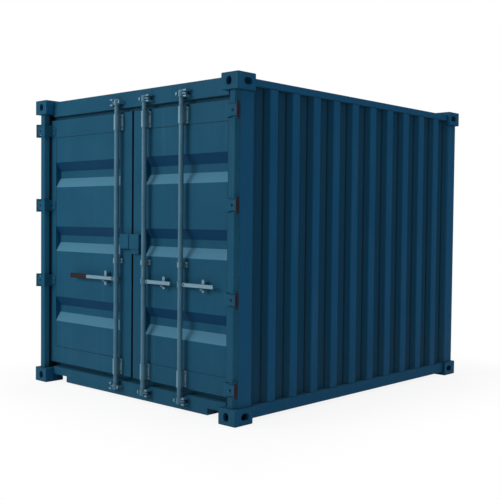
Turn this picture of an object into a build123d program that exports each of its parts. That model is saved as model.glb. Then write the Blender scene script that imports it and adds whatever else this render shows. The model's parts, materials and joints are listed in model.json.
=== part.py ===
"""A ten foot shipping container: corrugated steel body, timber floor and a pair of swinging end doors.

X runs across the container, Y along it and Z up. The doors close the end at minus Y.
The origin is the middle of the footprint at ground level, and every length is in millimetres.
"""

import os
from math import sqrt

from build123d import *

LENGTH = 2991.0
WIDTH = 2438.0
HEIGHT = 2438.0

# corner castings: hollow blocks with a slot above or below and two face holes
CAST_X = 162.0
CAST_Y = 178.0
CAST_Z = 118.0
CAST_SKIN = 28.0
CAST_BACK = 12.0
CAST_ROUND = 10.0
CAST_BREAK = 4.0
SLOT_LONG = 124.0
SLOT_WIDE = 63.5
SLOT_FROM_SIDE = 89.5
SLOT_FROM_END = 102.0
END_HOLE_LONG = 63.5
SIDE_HOLE_LONG = 79.5
FACE_HOLE_WIDE = 51.0

# corner posts stand between the castings, set back from their faces
SETBACK = 24.0
POST_X = 80.0
DOOR_POST_Y = 166.0
REAR_POST_Y = 132.0
POST_WALL = 6.0
POST_ROUND = 8.0
POST_BEVEL = 25.0
STOP_THICK = 8.0
STOP_REACH = 40.0
STOP_CLEAR = 7.0

# header and sill across the door end
RAIL_DEPTH = 80.0
FRAME_WALL = 6.0
HEADER_DROP = 14.0
HEADER_TALL = 127.0
HEADER_Y = 70.0
LIP_TALL = 21.0
LIP_DEPTH = 128.0
SILL_LIFT = 16.0
SILL_TALL = 117.0
SILL_Y = 120.0
NOTCH_LONG = 191.0
NOTCH_TALL = 50.0

# rails along the sides and across the blind end
LOW_RAIL_TALL = 88.0
LOW_RAIL_WIDE = 60.0
TOP_RAIL_DROP = 30.0
TOP_RAIL_TALL = 51.0
TOP_RAIL_WIDE = 60.0
TOP_RAIL_WALL = 4.0
REAR_RAIL_SET = 28.0
REAR_RAIL_Y = 50.0

# folded sheet walls and pressed roof
SHEET = 2.0
FOLD_ROUND = 10.0
WALL_MARGIN = 3.0
SIDE_RIBS = 11
SIDE_FLAT = 75.0
SIDE_SLOPE = 52.0
SIDE_FOLD = 36.0
REAR_RIBS = 9
REAR_FLAT = 72.0
REAR_SLOPE = 45.0
REAR_FOLD = 40.0
REAR_SET = 32.0
PAN_COUNT = 12
PAN_WIDE = 130.0
PAN_TAPER = 40.0
PAN_FOLD = 20.0
PAN_MARGIN = 75.0

# timber floor on steel cross members
FLOOR_TOP = 160.0
BOARD = 28.0
BOARD_COUNT = 8
BOARD_GAP = 3.0
FLOOR_CLEAR = 5.0
CROSS_COUNT = 9
CROSS_WIDE = 45.0
CROSS_WALL = 4.0

# door leaves
LEAF_DEPTH = 90.0
LEAF_THICK = 50.0
LEAF_GAP = 8.0
LEAF_LIFT = 39.0
CENTRE_GAP = 22.0
HINGE_STILE = 67.0
LOCK_STILE = 144.0
TOP_STILE = 148.0
LOW_STILE = 137.0
LEAF_WALL = 4.0
PRESS_PLACES = (0.1828, 0.518, 0.8222)
PRESS_SLOPE = 77.0
PRESS_FLAT = 60.0
PRESS_FOLD = 40.0
PRESS_ROUND = 12.0
SEAL_PROUD = 2.8
SEAL_STEP = 4.0
SEAL_LAP = 15.0
SEAL_BACK = 3.0

# hinges: fixed pins beside each post, and straps that turn on them
PIN_OUT = 10.0
PIN_R = 7.5
RUN = 0.08
KNUCKLE_R = 12.5
KNUCKLE_TALL = 76.0
STRAP_TALL = 98.0
STRAP_THICK = 10.0
STRAP_HOLE_R = 10.0
PAD_TALL = 58.0
LEG_THICK = 12.0
PAD_THICK = 6.0
EAR_GAP = 6.0
EAR_THICK = 12.0
LEFT_HINGES = (0.3392, 0.6503, 0.958)
RIGHT_HINGES = (0.0367, 0.3344, 0.6465, 0.9561)

# lock rods, placed by their share of the leaf's width
LEFT_ROD = 0.12683
MIDDLE_ROD = 0.15967
RIGHT_ROD = 0.54015
ROD_DEPTH = 48.0
ROD_R = 19.0
ROD_WALL = 4.5
CAM_R = 26.0
CAM_TALL = 50.0
CAM_ROUND = 10.0
CAM_RISE = 46.0
CAM_FALL = 45.0
TOE_REACH = 58.0
TOE_THICK = 14.0
TOE_TIP_R = 12.0
TOE_ROOT = 36.0
SLEEVE_R = 25.0
SLEEVE_TALL = 122.0
SLEEVE_DROP = 81.0
SLEEVE_RISE = 78.0
COLLAR_TALL = 39.0
COLLAR_INSET = 47.5
WING = 42.0
WING_ROUND = 6.0
FLANGE_WIDE = 22.0
FLANGE_THICK = 16.0
JAW_CLEAR = 7.0
JAW_LONG = 33.0
JAW_SLOT = 26.0
JAW_TALL = 16.0
JAW_OUT = 50.0
JAW_ROUND = 5.0
HORN_LONG = 17.0

# handles, placed by the space they leave at their outer ends
HANDLE_LIFT = 4.43
HANDLE_TALL = 30.0
HANDLE_THICK = 12.0
HANDLE_ROUND = 8.0
PIVOT = 46.0
PIVOT_R = 6.0
LUG_TALL = 46.0
LUG_GAP = 4.0
LUG_THICK = 8.0
LEFT_END_SPACE = 295.0
MIDDLE_END_SPACE = 101.0
RIGHT_END_SPACE = 83.0
GRIP_LONG = 223.0
GRIP_END = 7.0
GRIP_SKIN = 5.0
GRIP_ROUND = 4.0
CATCH_THICK = 6.0
CATCH_GAP = 6.0
CATCH_WIDE = 30.0
CATCH_TALL = 98.0
LONG_CATCH_TALL = 121.0
LEFT_CATCH = 147.0
MIDDLE_CATCH = 193.0
RIGHT_CATCH = 203.0
SEAT_THICK = 7.0
SEAT_LIP = 12.0

# lock cover over the meeting stiles
BOX_RISE = 99.5
BOX_TALL = 115.0
BOX_DEPTH = 50.0
BOX_GAP = 3.0
LEFT_BOX_SPACE = 18.0
RIGHT_BOX_SPACE = 45.0
BOX_WALL = 4.0
BOX_ROUND = 8.0
STEP_TALL = 41.0
STEP_INSET = 13.0
STEP_DEPTH = 62.0

HALF_X = WIDTH / 2
HALF_Y = LENGTH / 2
CAST_IN = HALF_X - CAST_X
CAST_END = HALF_Y - CAST_Y
TOP_CAST = HEIGHT - CAST_Z
POST_OUT = HALF_X - SETBACK
POST_IN = POST_OUT - POST_X
TOP_RAIL_HIGH = HEIGHT - TOP_RAIL_DROP
TOP_RAIL_LOW = TOP_RAIL_HIGH - TOP_RAIL_TALL
HEADER_HIGH = HEIGHT - HEADER_DROP
HEADER_LOW = HEADER_HIGH - HEADER_TALL
LIP_LOW = HEADER_LOW - LIP_TALL
SILL_HIGH = SILL_LIFT + SILL_TALL
LEAF_BACK = LEAF_DEPTH + LEAF_THICK
STOP_DEPTH = LEAF_BACK + SEAL_BACK + STOP_CLEAR
LEAF_LOW = SILL_HIGH + LEAF_LIFT
LEAF_HIGH = LIP_LOW - LEAF_GAP
LEAF_IN = CENTRE_GAP / 2
LEAF_OUT = POST_IN - LEAF_GAP
FIELD_IN = LEAF_IN + LOCK_STILE
FIELD_OUT = LEAF_OUT - HINGE_STILE
FIELD_LOW = LEAF_LOW + LOW_STILE
FIELD_HIGH = LEAF_HIGH - TOP_STILE
PANEL_DEPTH = LEAF_DEPTH + SHEET
PRESS_HALF = PRESS_SLOPE + PRESS_FLAT / 2
PRESS_LEVELS = [FIELD_LOW + place * (FIELD_HIGH - FIELD_LOW) for place in PRESS_PLACES]
HANDLE_LEVEL = (PRESS_LEVELS[0] + PRESS_LEVELS[1]) / 2 + HANDLE_LIFT
COLLAR_LEVEL = PRESS_LEVELS[1] - PRESS_HALF - COLLAR_INSET
BOX_LOW = COLLAR_LEVEL + BOX_RISE
BOX_HIGH = BOX_LOW + BOX_TALL
LEFT_ROD_X = -LEAF_IN - LEFT_ROD * (LEAF_OUT - LEAF_IN)
MIDDLE_ROD_X = LEAF_IN + MIDDLE_ROD * (LEAF_OUT - LEAF_IN)
RIGHT_ROD_X = LEAF_IN + RIGHT_ROD * (LEAF_OUT - LEAF_IN)
BOX_LEFT = LEFT_ROD_X + ROD_R + LEFT_BOX_SPACE
BOX_RIGHT = MIDDLE_ROD_X - ROD_R - RIGHT_BOX_SPACE
CAM_TOP = HEADER_LOW + CAM_RISE
CAM_LOW = SILL_HIGH - CAM_FALL
PIN_X = POST_OUT + PIN_OUT
PIN_DEPTH = SETBACK - PIN_OUT


def front(depth):
    """Y of a plane that far behind the faces of the door end castings."""
    return depth - HALF_Y


def rear(depth):
    """Y of a plane that far in front of the faces of the blind end castings."""
    return HALF_Y - depth


def block(x, y, z, mode=Mode.ADD):
    """Box between two limits along each axis, put into the part being built."""
    with Locations(((x[0] + x[1]) / 2, (y[0] + y[1]) / 2, (z[0] + z[1]) / 2)):
        Box(abs(x[1] - x[0]), abs(y[1] - y[0]), abs(z[1] - z[0]), mode=mode)


def upright(x, y, z, radius, mode=Mode.ADD):
    """Round bar standing on the point (x, y) between two levels."""
    with Locations((x, y, (z[0] + z[1]) / 2)):
        Cylinder(radius, z[1] - z[0], mode=mode)


def mirrored(builder, plane=Plane.YZ):
    """The same piece on the other side of the container."""
    with BuildPart() as other:
        mirror(builder.part, about=plane)
    return other


def gathered(builders):
    """Several separate solids kept as one piece."""
    with BuildPart() as group:
        add([builder.part for builder in builders])
    return group


def fold_points(start, stop, ribs, flat, slope, fold, margin):
    """Corners of a folded sheet's outer face, as (distance along, distance in) pairs."""
    inner = (stop - start - 2 * margin - (ribs - 1) * flat) / ribs - 2 * slope
    points = [(start, 0.0)]
    at = start + margin
    for _ in range(ribs):
        points += [(at, 0.0), (at + slope, fold)]
        points += [(at + slope + inner, fold), (at + 2 * slope + inner, 0.0)]
        at += 2 * slope + inner + flat
    points.append((stop, 0.0))
    return points


def corner_casting():
    """Casting at the top right corner of the door end: hollow, with a top slot and two face holes."""
    x = (CAST_IN, HALF_X)
    y = (front(0), front(CAST_Y))
    z = (TOP_CAST, HEIGHT)
    with BuildPart() as casting:
        block(x, y, z)
        outer = casting.edges().filter_by(Axis.Z).sort_by_distance((HALF_X, front(0), TOP_CAST))[0]
        fillet(outer, CAST_ROUND)
        chamfer(casting.faces().sort_by(Axis.Z)[-1].edges(), CAST_BREAK)
        block(
            (x[0] + CAST_BACK, x[1] - CAST_SKIN),
            (y[0] + CAST_SKIN, y[1] - CAST_BACK),
            (z[0] + CAST_BACK, z[1] - CAST_SKIN),
            mode=Mode.SUBTRACT,
        )
        with BuildSketch(Plane.XY.offset(HEIGHT)):
            with Locations((HALF_X - SLOT_FROM_SIDE, front(SLOT_FROM_END))):
                SlotOverall(SLOT_LONG, SLOT_WIDE, rotation=90)
        extrude(amount=-CAST_SKIN, mode=Mode.SUBTRACT)
        with BuildSketch(Plane.XZ.offset(HALF_Y)):
            with Locations((HALF_X - SLOT_FROM_SIDE, HEIGHT - CAST_Z / 2)):
                SlotOverall(END_HOLE_LONG, FACE_HOLE_WIDE, rotation=90)
        extrude(amount=-CAST_SKIN, mode=Mode.SUBTRACT)
        with BuildSketch(Plane.YZ.offset(HALF_X)):
            with Locations((front(SLOT_FROM_END), HEIGHT - CAST_Z / 2)):
                SlotOverall(SIDE_HOLE_LONG, FACE_HOLE_WIDE)
        extrude(amount=-CAST_SKIN, mode=Mode.SUBTRACT)
    return casting


def door_post():
    """Right-hand door post: a closed section with a bevelled outer corner and a door stop."""
    back = front(SETBACK + DOOR_POST_Y)
    with BuildPart() as post:
        with BuildSketch(Plane.XY.offset(CAST_Z)) as section:
            with BuildLine():
                Polyline(
                    (POST_IN, front(SETBACK)),
                    (POST_OUT - POST_BEVEL, front(SETBACK)),
                    (POST_OUT, front(SETBACK + POST_BEVEL)),
                    (POST_OUT, back),
                    (POST_IN, back),
                    close=True,
                )
            make_face()
            fillet(section.vertices().sort_by_distance((POST_IN, front(SETBACK)))[0], POST_ROUND)
            offset(amount=-POST_WALL, kind=Kind.INTERSECTION, mode=Mode.SUBTRACT)
        extrude(amount=TOP_CAST - CAST_Z)
        stop_y = (front(STOP_DEPTH), front(STOP_DEPTH + STOP_THICK))
        block((POST_IN - STOP_REACH, POST_IN), stop_y, (CAST_Z, TOP_CAST))
        block((POST_OUT - TOP_RAIL_WIDE, POST_OUT), (front(CAST_Y), back), (TOP_CAST, TOP_RAIL_LOW))
    return post


def rear_post():
    """Right-hand post of the blind end: a plain closed section."""
    with BuildPart() as post:
        with BuildSketch(Plane.XY.offset(CAST_Z)) as section:
            with Locations((POST_IN + POST_X / 2, rear(SETBACK + REAR_POST_Y / 2))):
                Rectangle(POST_X, REAR_POST_Y)
            fillet(section.vertices().sort_by_distance((POST_OUT, rear(SETBACK)))[0], POST_ROUND)
            offset(amount=-POST_WALL, kind=Kind.INTERSECTION, mode=Mode.SUBTRACT)
        extrude(amount=TOP_CAST - CAST_Z)
    return post


def cross_rail(y, z, wall):
    """Box section lying across the container between two castings, open at both ends."""
    with BuildPart() as rail:
        block((-CAST_IN, CAST_IN), y, z)
        hollow_y = (y[0] + wall, y[1] - wall)
        hollow_z = (z[0] + wall, z[1] - wall)
        block((-CAST_IN, CAST_IN), hollow_y, hollow_z, mode=Mode.SUBTRACT)
    return rail


def header():
    """Header over the doors: a box rail with a recessed lip that runs on between the posts."""
    y = (front(RAIL_DEPTH), front(RAIL_DEPTH + HEADER_Y))
    lip_y = (front(LIP_DEPTH), front(LIP_DEPTH) + FRAME_WALL)
    rail = cross_rail(y, (HEADER_LOW, HEADER_HIGH), FRAME_WALL)
    with BuildPart() as piece:
        add(rail.part)
        block((-POST_IN, POST_IN), (lip_y[0], y[1]), (LIP_LOW, LIP_LOW + FRAME_WALL))
        block((-POST_IN, POST_IN), lip_y, (LIP_LOW, HEADER_LOW))
        for side in (-1, 1):
            block((side * CAST_IN, side * POST_IN), lip_y, (HEADER_LOW, TOP_CAST))
    return piece


def sill():
    """Sill under the doors: a box rail notched at both ends, with a raised threshold behind."""
    y = (front(RAIL_DEPTH), front(RAIL_DEPTH + SILL_Y))
    step = (front(STOP_DEPTH + STOP_THICK), front(STOP_DEPTH + STOP_THICK + FRAME_WALL))
    notch = CAST_IN - NOTCH_LONG
    notch_top = SILL_LIFT + NOTCH_TALL
    rail = cross_rail(y, (SILL_LIFT, SILL_HIGH), FRAME_WALL)
    with BuildPart() as piece:
        add(rail.part)
        for side in (-1, 1):
            inner = side * (notch - FRAME_WALL)
            block((side * notch, side * CAST_IN), y, (SILL_LIFT, notch_top), mode=Mode.SUBTRACT)
            block((inner, side * CAST_IN), y, (notch_top, notch_top + FRAME_WALL))
            block((inner, side * notch), y, (SILL_LIFT, notch_top))
            block((side * CAST_IN, side * POST_IN), step, (CAST_Z, SILL_HIGH))
        block((-POST_IN, POST_IN), step, (SILL_HIGH, FLOOR_TOP))
        block((-POST_IN, POST_IN), (step[0], y[1]), (FLOOR_TOP - FRAME_WALL, FLOOR_TOP))
    return piece


def low_side_rail():
    """Right-hand bottom side rail: a channel with its flanges turned inwards."""
    x = (POST_OUT - LOW_RAIL_WIDE, POST_OUT)
    z = (CAST_Z - LOW_RAIL_TALL, CAST_Z)
    with BuildPart() as rail:
        block(x, (-CAST_END, CAST_END), z)
        hollow_z = (z[0] + FRAME_WALL, z[1] - FRAME_WALL)
        block((x[0], x[1] - FRAME_WALL), (-CAST_END, CAST_END), hollow_z, mode=Mode.SUBTRACT)
    return rail


def top_side_rail():
    """Right-hand top side rail: a small box section between the castings."""
    x = (POST_OUT - TOP_RAIL_WIDE, POST_OUT)
    with BuildPart() as rail:
        block(x, (-CAST_END, CAST_END), (TOP_RAIL_LOW, TOP_RAIL_HIGH))
        block(
            (x[0] + TOP_RAIL_WALL, x[1] - TOP_RAIL_WALL),
            (-CAST_END, CAST_END),
            (TOP_RAIL_LOW + TOP_RAIL_WALL, TOP_RAIL_HIGH - TOP_RAIL_WALL),
            mode=Mode.SUBTRACT,
        )
    return rail


def side_wall():
    """Right-hand side wall: one folded sheet between the posts and the side rails."""
    start = front(SETBACK + DOOR_POST_Y)
    stop = rear(SETBACK + REAR_POST_Y)
    folds = fold_points(start, stop, SIDE_RIBS, SIDE_FLAT, SIDE_SLOPE, SIDE_FOLD, WALL_MARGIN)
    with BuildPart() as wall:
        with BuildSketch(Plane.XY.offset(CAST_Z)):
            with BuildLine():
                FilletPolyline(*[(POST_OUT - depth, along) for along, depth in folds[1:-1]], radius=FOLD_ROUND)
                offset(amount=SHEET, side=Side.LEFT)
            make_face()
            for end in (start, stop - WALL_MARGIN):
                with Locations((POST_OUT - SHEET / 2, end + WALL_MARGIN / 2)):
                    Rectangle(SHEET, WALL_MARGIN)
        extrude(amount=TOP_RAIL_LOW - CAST_Z)
        block((CAST_IN, HALF_X), (CAST_END, HALF_Y), (TOP_CAST, TOP_RAIL_LOW), mode=Mode.SUBTRACT)
    return wall


def blind_wall():
    """Wall of the blind end: one folded sheet between the rear posts."""
    folds = fold_points(-POST_IN, POST_IN, REAR_RIBS, REAR_FLAT, REAR_SLOPE, REAR_FOLD, REAR_FLAT)
    with BuildPart() as wall:
        with BuildSketch(Plane.XY.offset(CAST_Z)):
            with BuildLine():
                FilletPolyline(*[(along, rear(REAR_SET + depth)) for along, depth in folds], radius=FOLD_ROUND)
                offset(amount=SHEET, side=Side.RIGHT)
            make_face()
        extrude(amount=TOP_RAIL_LOW - CAST_Z)
        for side in (-1, 1):
            corner = (side * CAST_IN, side * POST_IN)
            block(corner, (CAST_END, HALF_Y), (TOP_CAST, TOP_RAIL_LOW), mode=Mode.SUBTRACT)
    return wall


def roof():
    """Roof: one sheet between the top rails, stiffened by pans pressed down across its width."""
    half = POST_OUT - TOP_RAIL_WIDE
    start = front(RAIL_DEPTH + HEADER_Y)
    stop = rear(REAR_RAIL_SET + REAR_RAIL_Y)
    pitch = (stop - start) / PAN_COUNT
    long = 2 * (half - PAN_MARGIN)
    with BuildPart() as sheet:
        with BuildSketch(Plane.XY.offset(TOP_RAIL_HIGH)):
            with Locations((0, (start + stop) / 2)):
                Rectangle(2 * half, stop - start)
        extrude(amount=-SHEET)
        with BuildSketch(Plane.XY.offset(TOP_RAIL_HIGH)):
            with Locations((0, (start + stop) / 2)):
                with GridLocations(0, pitch, 1, PAN_COUNT):
                    Rectangle(long, PAN_WIDE)
        extrude(amount=-PAN_FOLD - SHEET, taper=PAN_TAPER)
        with BuildSketch(Plane.XY.offset(TOP_RAIL_HIGH)):
            with Locations((0, (start + stop) / 2)):
                with GridLocations(0, pitch, 1, PAN_COUNT):
                    Rectangle(long - SHEET, PAN_WIDE - SHEET)
        extrude(amount=-PAN_FOLD, taper=PAN_TAPER, mode=Mode.SUBTRACT)
        for side in (-1, 1):
            for end in (-1, 1):
                corner = (side * CAST_IN, side * HALF_X)
                block(corner, (end * CAST_END, end * HALF_Y), (TOP_CAST, HEIGHT), mode=Mode.SUBTRACT)
    return sheet


def floor():
    """Plywood floor: long boards side by side, with a narrow joint between them."""
    half = POST_OUT - SIDE_FOLD - SHEET - FLOOR_CLEAR
    start = front(RAIL_DEPTH + SILL_Y)
    stop = rear(REAR_SET + REAR_FOLD + 2 * SHEET)
    wide = (2 * half - (BOARD_COUNT - 1) * BOARD_GAP) / BOARD_COUNT
    post = (rear(SETBACK + REAR_POST_Y + FLOOR_CLEAR), HALF_Y)
    with BuildPart() as boards:
        for i in range(BOARD_COUNT):
            x = -half + i * (wide + BOARD_GAP)
            block((x, x + wide), (start, stop), (FLOOR_TOP - BOARD, FLOOR_TOP))
        for side in (-1, 1):
            corner = (side * (POST_IN - FLOOR_CLEAR), side * HALF_X)
            block(corner, post, (0, HEIGHT), mode=Mode.SUBTRACT)
    return boards


def cross_members():
    """Row of channels that carry the floor from one bottom side rail to the other."""
    half = POST_OUT - LOW_RAIL_WIDE
    start = front(RAIL_DEPTH + SILL_Y)
    stop = rear(REAR_RAIL_SET + REAR_RAIL_Y)
    pitch = (stop - start) / (CROSS_COUNT + 1)
    z = (CAST_Z - LOW_RAIL_TALL, FLOOR_TOP - BOARD)
    with BuildPart() as members:
        for i in range(CROSS_COUNT):
            y = start + (i + 1) * pitch
            hollow_z = (z[0] + CROSS_WALL, z[1] - CROSS_WALL)
            block((-half, half), (y, y + CROSS_WIDE), z)
            block((-half, half), (y + CROSS_WALL, y + CROSS_WIDE), hollow_z, mode=Mode.SUBTRACT)
    return members


def leaf_frame():
    """Frame of the right-hand leaf: two box stiles joined by channels that open inwards."""
    y = (front(LEAF_DEPTH), front(LEAF_BACK))
    hollow_y = (y[0] + LEAF_WALL, y[1] - LEAF_WALL)
    field = (FIELD_IN, FIELD_OUT)
    with BuildPart() as frame:
        for x in ((LEAF_IN, FIELD_IN), (FIELD_OUT, LEAF_OUT)):
            block(x, y, (LEAF_LOW, LEAF_HIGH))
            hollow_x = (x[0] + LEAF_WALL, x[1] - LEAF_WALL)
            block(hollow_x, hollow_y, (LEAF_LOW, LEAF_HIGH), mode=Mode.SUBTRACT)
        for z in ((LEAF_LOW, FIELD_LOW), (FIELD_HIGH, LEAF_HIGH)):
            block(field, (y[0], hollow_y[0]), z)
            block(field, y, (z[0], z[0] + LEAF_WALL))
            block(field, y, (z[1] - LEAF_WALL, z[1]))
    return frame


def leaf_panel():
    """Panel of the right-hand leaf: a sheet pressed inwards in three level troughs."""
    points = [(FIELD_LOW, 0.0)]
    for level in PRESS_LEVELS:
        points += [(level - PRESS_HALF, 0.0), (level - PRESS_FLAT / 2, PRESS_FOLD)]
        points += [(level + PRESS_FLAT / 2, PRESS_FOLD), (level + PRESS_HALF, 0.0)]
    points.append((FIELD_HIGH, 0.0))
    with BuildPart() as panel:
        with BuildSketch(Plane.YZ.offset(FIELD_IN)):
            with BuildLine():
                FilletPolyline(*[(front(PANEL_DEPTH + depth), z) for z, depth in points], radius=PRESS_ROUND)
                offset(amount=SHEET, side=Side.RIGHT)
            make_face()
        extrude(amount=FIELD_OUT - FIELD_IN)
    return panel


def leaf_seal():
    """Rubber seal round the right-hand leaf, with a lap over the back of its frame."""
    x = (LEAF_IN, LEAF_OUT)
    z = (LEAF_LOW, LEAF_HIGH)
    back = (front(LEAF_BACK), front(LEAF_BACK + SEAL_BACK))
    with BuildPart() as seal:
        block(
            (x[0] - SEAL_PROUD, x[1] + SEAL_PROUD),
            (front(LEAF_DEPTH + SEAL_STEP), back[1]),
            (z[0] - SEAL_PROUD, z[1] + SEAL_PROUD),
        )
        block(x, (front(LEAF_DEPTH), back[0]), z, mode=Mode.SUBTRACT)
        inside_x = (x[0] + SEAL_LAP, x[1] - SEAL_LAP)
        inside_z = (z[0] + SEAL_LAP, z[1] - SEAL_LAP)
        block(inside_x, back, inside_z, mode=Mode.SUBTRACT)
    return seal


def hinge_level(place):
    """Level of a hinge whose place is a share of the leaf's height."""
    return LEAF_LOW + place * (LEAF_HIGH - LEAF_LOW)


def hinge_strap(level):
    """Strap of the right-hand leaf: a knuckle, a plate over the post, a leg and a tapered foot."""
    near = LEAF_OUT - LEG_THICK
    y = front(PIN_DEPTH - STRAP_THICK / 2)
    knuckle = (level - KNUCKLE_TALL / 2, level + KNUCKLE_TALL / 2)
    tall = (level - STRAP_TALL / 2, level + STRAP_TALL / 2)
    with BuildPart() as strap:
        with BuildSketch(Plane.XZ.offset(-y)):
            with BuildLine():
                Polyline(
                    (near, tall[0]),
                    (LEAF_OUT, tall[0]),
                    (PIN_X - 4 * KNUCKLE_R, knuckle[0]),
                    (PIN_X, knuckle[0]),
                    (PIN_X, knuckle[1]),
                    (PIN_X - 4 * KNUCKLE_R, knuckle[1]),
                    (LEAF_OUT, tall[1]),
                    (near, tall[1]),
                    close=True,
                )
            make_face()
            with Locations((PIN_X - 3.6 * KNUCKLE_R, level)):
                Circle(STRAP_HOLE_R, mode=Mode.SUBTRACT)
        extrude(amount=-STRAP_THICK)
        block((near, LEAF_OUT), (y, front(LEAF_DEPTH)), tall)
        bend = strap.edges().filter_by(Axis.Z).sort_by_distance((near, y, level))[0]
        fillet(bend, LEG_THICK / 2)
        with BuildSketch(Plane.XZ.offset(-front(LEAF_DEPTH))):
            with BuildLine():
                Polyline(
                    (FIELD_OUT, level - PAD_TALL / 2),
                    (near, tall[0]),
                    (LEAF_OUT, tall[0]),
                    (LEAF_OUT, tall[1]),
                    (near, tall[1]),
                    (FIELD_OUT, level + PAD_TALL / 2),
                    close=True,
                )
            make_face()
        extrude(amount=PAD_THICK)
        upright(PIN_X, front(PIN_DEPTH), knuckle, KNUCKLE_R)
        upright(PIN_X, front(PIN_DEPTH), knuckle, PIN_R + RUN, mode=Mode.SUBTRACT)
    return strap


def hinge_lug(level):
    """Pin of the right-hand post, held by an ear above and an ear below on the post's bevel."""
    foot = (PIN_OUT + POST_BEVEL / 2) * sqrt(2)
    inner = KNUCKLE_TALL / 2 + EAR_GAP
    with BuildPart() as lug:
        for low in (level + inner, level - inner - EAR_THICK):
            with BuildSketch(Plane.XY.offset(low)):
                with Locations((PIN_X, front(PIN_DEPTH))):
                    Circle(KNUCKLE_R)
                with Locations(Location((PIN_X, front(PIN_DEPTH)), 135)):
                    Rectangle(foot, 2 * KNUCKLE_R, align=(Align.MIN, Align.CENTER))
            extrude(amount=EAR_THICK)
        ends = (level - inner - EAR_THICK, level + inner + EAR_THICK)
        upright(PIN_X, front(PIN_DEPTH), ends, PIN_R)
    return lug


def lock_rod(x, hand):
    """Turning tube with a hub at each end and a handle bracket whose pin points outwards."""
    y = front(ROD_DEPTH)
    ends = (CAM_LOW - CAM_TALL / 2, CAM_TOP + CAM_TALL / 2)
    lug_y = (y + LUG_GAP, y + LUG_GAP + LUG_THICK)
    pin_y = y - HANDLE_THICK - LUG_GAP
    with BuildPart() as rod:
        upright(x, y, ends, ROD_R)
        for level in (CAM_LOW, CAM_TOP):
            upright(x, y, (level - CAM_TALL / 2, level + CAM_TALL / 2), CAM_R)
        for rim in (0, -1):
            fillet(rod.edges().group_by(Axis.Z)[rim], CAM_ROUND)
        upright(x, y, (HANDLE_LEVEL - LUG_TALL / 2, HANDLE_LEVEL + LUG_TALL / 2), SLEEVE_R)
        with BuildSketch(Plane.XZ.offset(-lug_y[0])):
            with Locations((x + hand * ROD_R / 2, HANDLE_LEVEL)):
                Rectangle(ROD_R, LUG_TALL)
            with Locations((x + hand * PIVOT, HANDLE_LEVEL)):
                Circle(HANDLE_TALL / 2)
            make_hull()
        extrude(amount=-LUG_THICK)
        with BuildSketch(Plane.XZ.offset(-pin_y)):
            with Locations((x + hand * PIVOT, HANDLE_LEVEL)):
                Circle(PIVOT_R)
        extrude(amount=pin_y - lug_y[1])
        upright(x, y, ends, ROD_R - ROD_WALL, mode=Mode.SUBTRACT)
    return rod


def cam_toe(x, hand, level):
    """Toe of a cam: a tapered tongue with a round tip that lies against the rod's hub."""
    y = front(ROD_DEPTH)
    tip = x + hand * (TOE_REACH - TOE_TIP_R)
    with BuildPart() as toe:
        with BuildSketch(Plane.XY.offset(level - TOE_THICK / 2)):
            with BuildLine():
                Polyline(
                    (x, y - TOE_ROOT / 2),
                    (tip, y - TOE_TIP_R),
                    (tip, y + TOE_TIP_R),
                    (x, y + TOE_ROOT / 2),
                    close=True,
                )
            make_face()
            with Locations((tip, y)):
                Circle(TOE_TIP_R)
            with Locations((x, y)):
                Circle(CAM_R, mode=Mode.SUBTRACT)
        extrude(amount=TOE_THICK)
    return toe


def cam_toes(x, hand):
    """The toes of one rod's upper and lower cams."""
    return gathered([cam_toe(x, hand, level) for level in (CAM_TOP, CAM_LOW)])


def rod_handle(x, hand, end):
    """Flat handle that turns on its rod's pin and reaches out to the given x."""
    y = front(ROD_DEPTH)
    pin = x + hand * PIVOT
    with BuildPart() as handle:
        with BuildSketch(Plane.XZ.offset(-y)):
            with Locations(((pin + end) / 2, HANDLE_LEVEL)):
                Rectangle(abs(end - pin), HANDLE_TALL)
            with Locations((pin, HANDLE_LEVEL)):
                Circle(HANDLE_TALL / 2)
                Circle(PIVOT_R + RUN, mode=Mode.SUBTRACT)
        extrude(amount=HANDLE_THICK)
        fillet(handle.edges().filter_by(Axis.Y).sort_by_distance((end, y, HANDLE_LEVEL))[0:2], HANDLE_ROUND)
    return handle


def handle_grip(end, hand, bar):
    """Moulded grip that covers the outer end of the long handle."""
    y = front(ROD_DEPTH)
    high = HANDLE_TALL / 2 + GRIP_SKIN
    far = end + hand * GRIP_END
    with BuildPart() as grip:
        block(
            (far - hand * GRIP_LONG, far),
            (y - HANDLE_THICK - GRIP_SKIN, y + GRIP_SKIN),
            (HANDLE_LEVEL - high, HANDLE_LEVEL + high),
        )
        fillet(grip.edges().filter_by(Axis.X), GRIP_ROUND)
        add(bar.part, mode=Mode.SUBTRACT)
    return grip


def rod_guide(x, level, tall):
    """Sleeve round a rod on a saddle, with a wing beside it that ends in a thick flange."""
    y = front(ROD_DEPTH)
    z = (level - tall / 2, level + tall / 2)
    in_field = FIELD_LOW < level < FIELD_HIGH
    on_panel = in_field and abs(x) - SLEEVE_R > FIELD_IN
    back = front(PANEL_DEPTH if on_panel else LEAF_DEPTH)
    near = max(x - ROD_R, -FIELD_IN) if in_field else x - ROD_R
    foot = (z[0], min(z[1], FIELD_LOW)) if level < FIELD_LOW else z
    with BuildPart() as guide:
        block((near, x + ROD_R), (y, back), foot)
        with BuildSketch(Plane.XZ.offset(-back)) as wing:
            with Locations(((near + x + WING) / 2, (foot[0] + foot[1]) / 2)):
                Rectangle(x + WING - near, foot[1] - foot[0])
            fillet(wing.vertices(), WING_ROUND)
        extrude(amount=PAD_THICK)
        with BuildSketch(Plane.XZ.offset(-back)) as flange:
            with Locations((x + WING - FLANGE_WIDE / 2, (foot[0] + foot[1]) / 2)):
                Rectangle(FLANGE_WIDE, foot[1] - foot[0])
            fillet(flange.vertices(), WING_ROUND)
        extrude(amount=FLANGE_THICK)
        upright(x, y, z, SLEEVE_R)
        upright(x, y, z, ROD_R + RUN, mode=Mode.SUBTRACT)
    return guide


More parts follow.
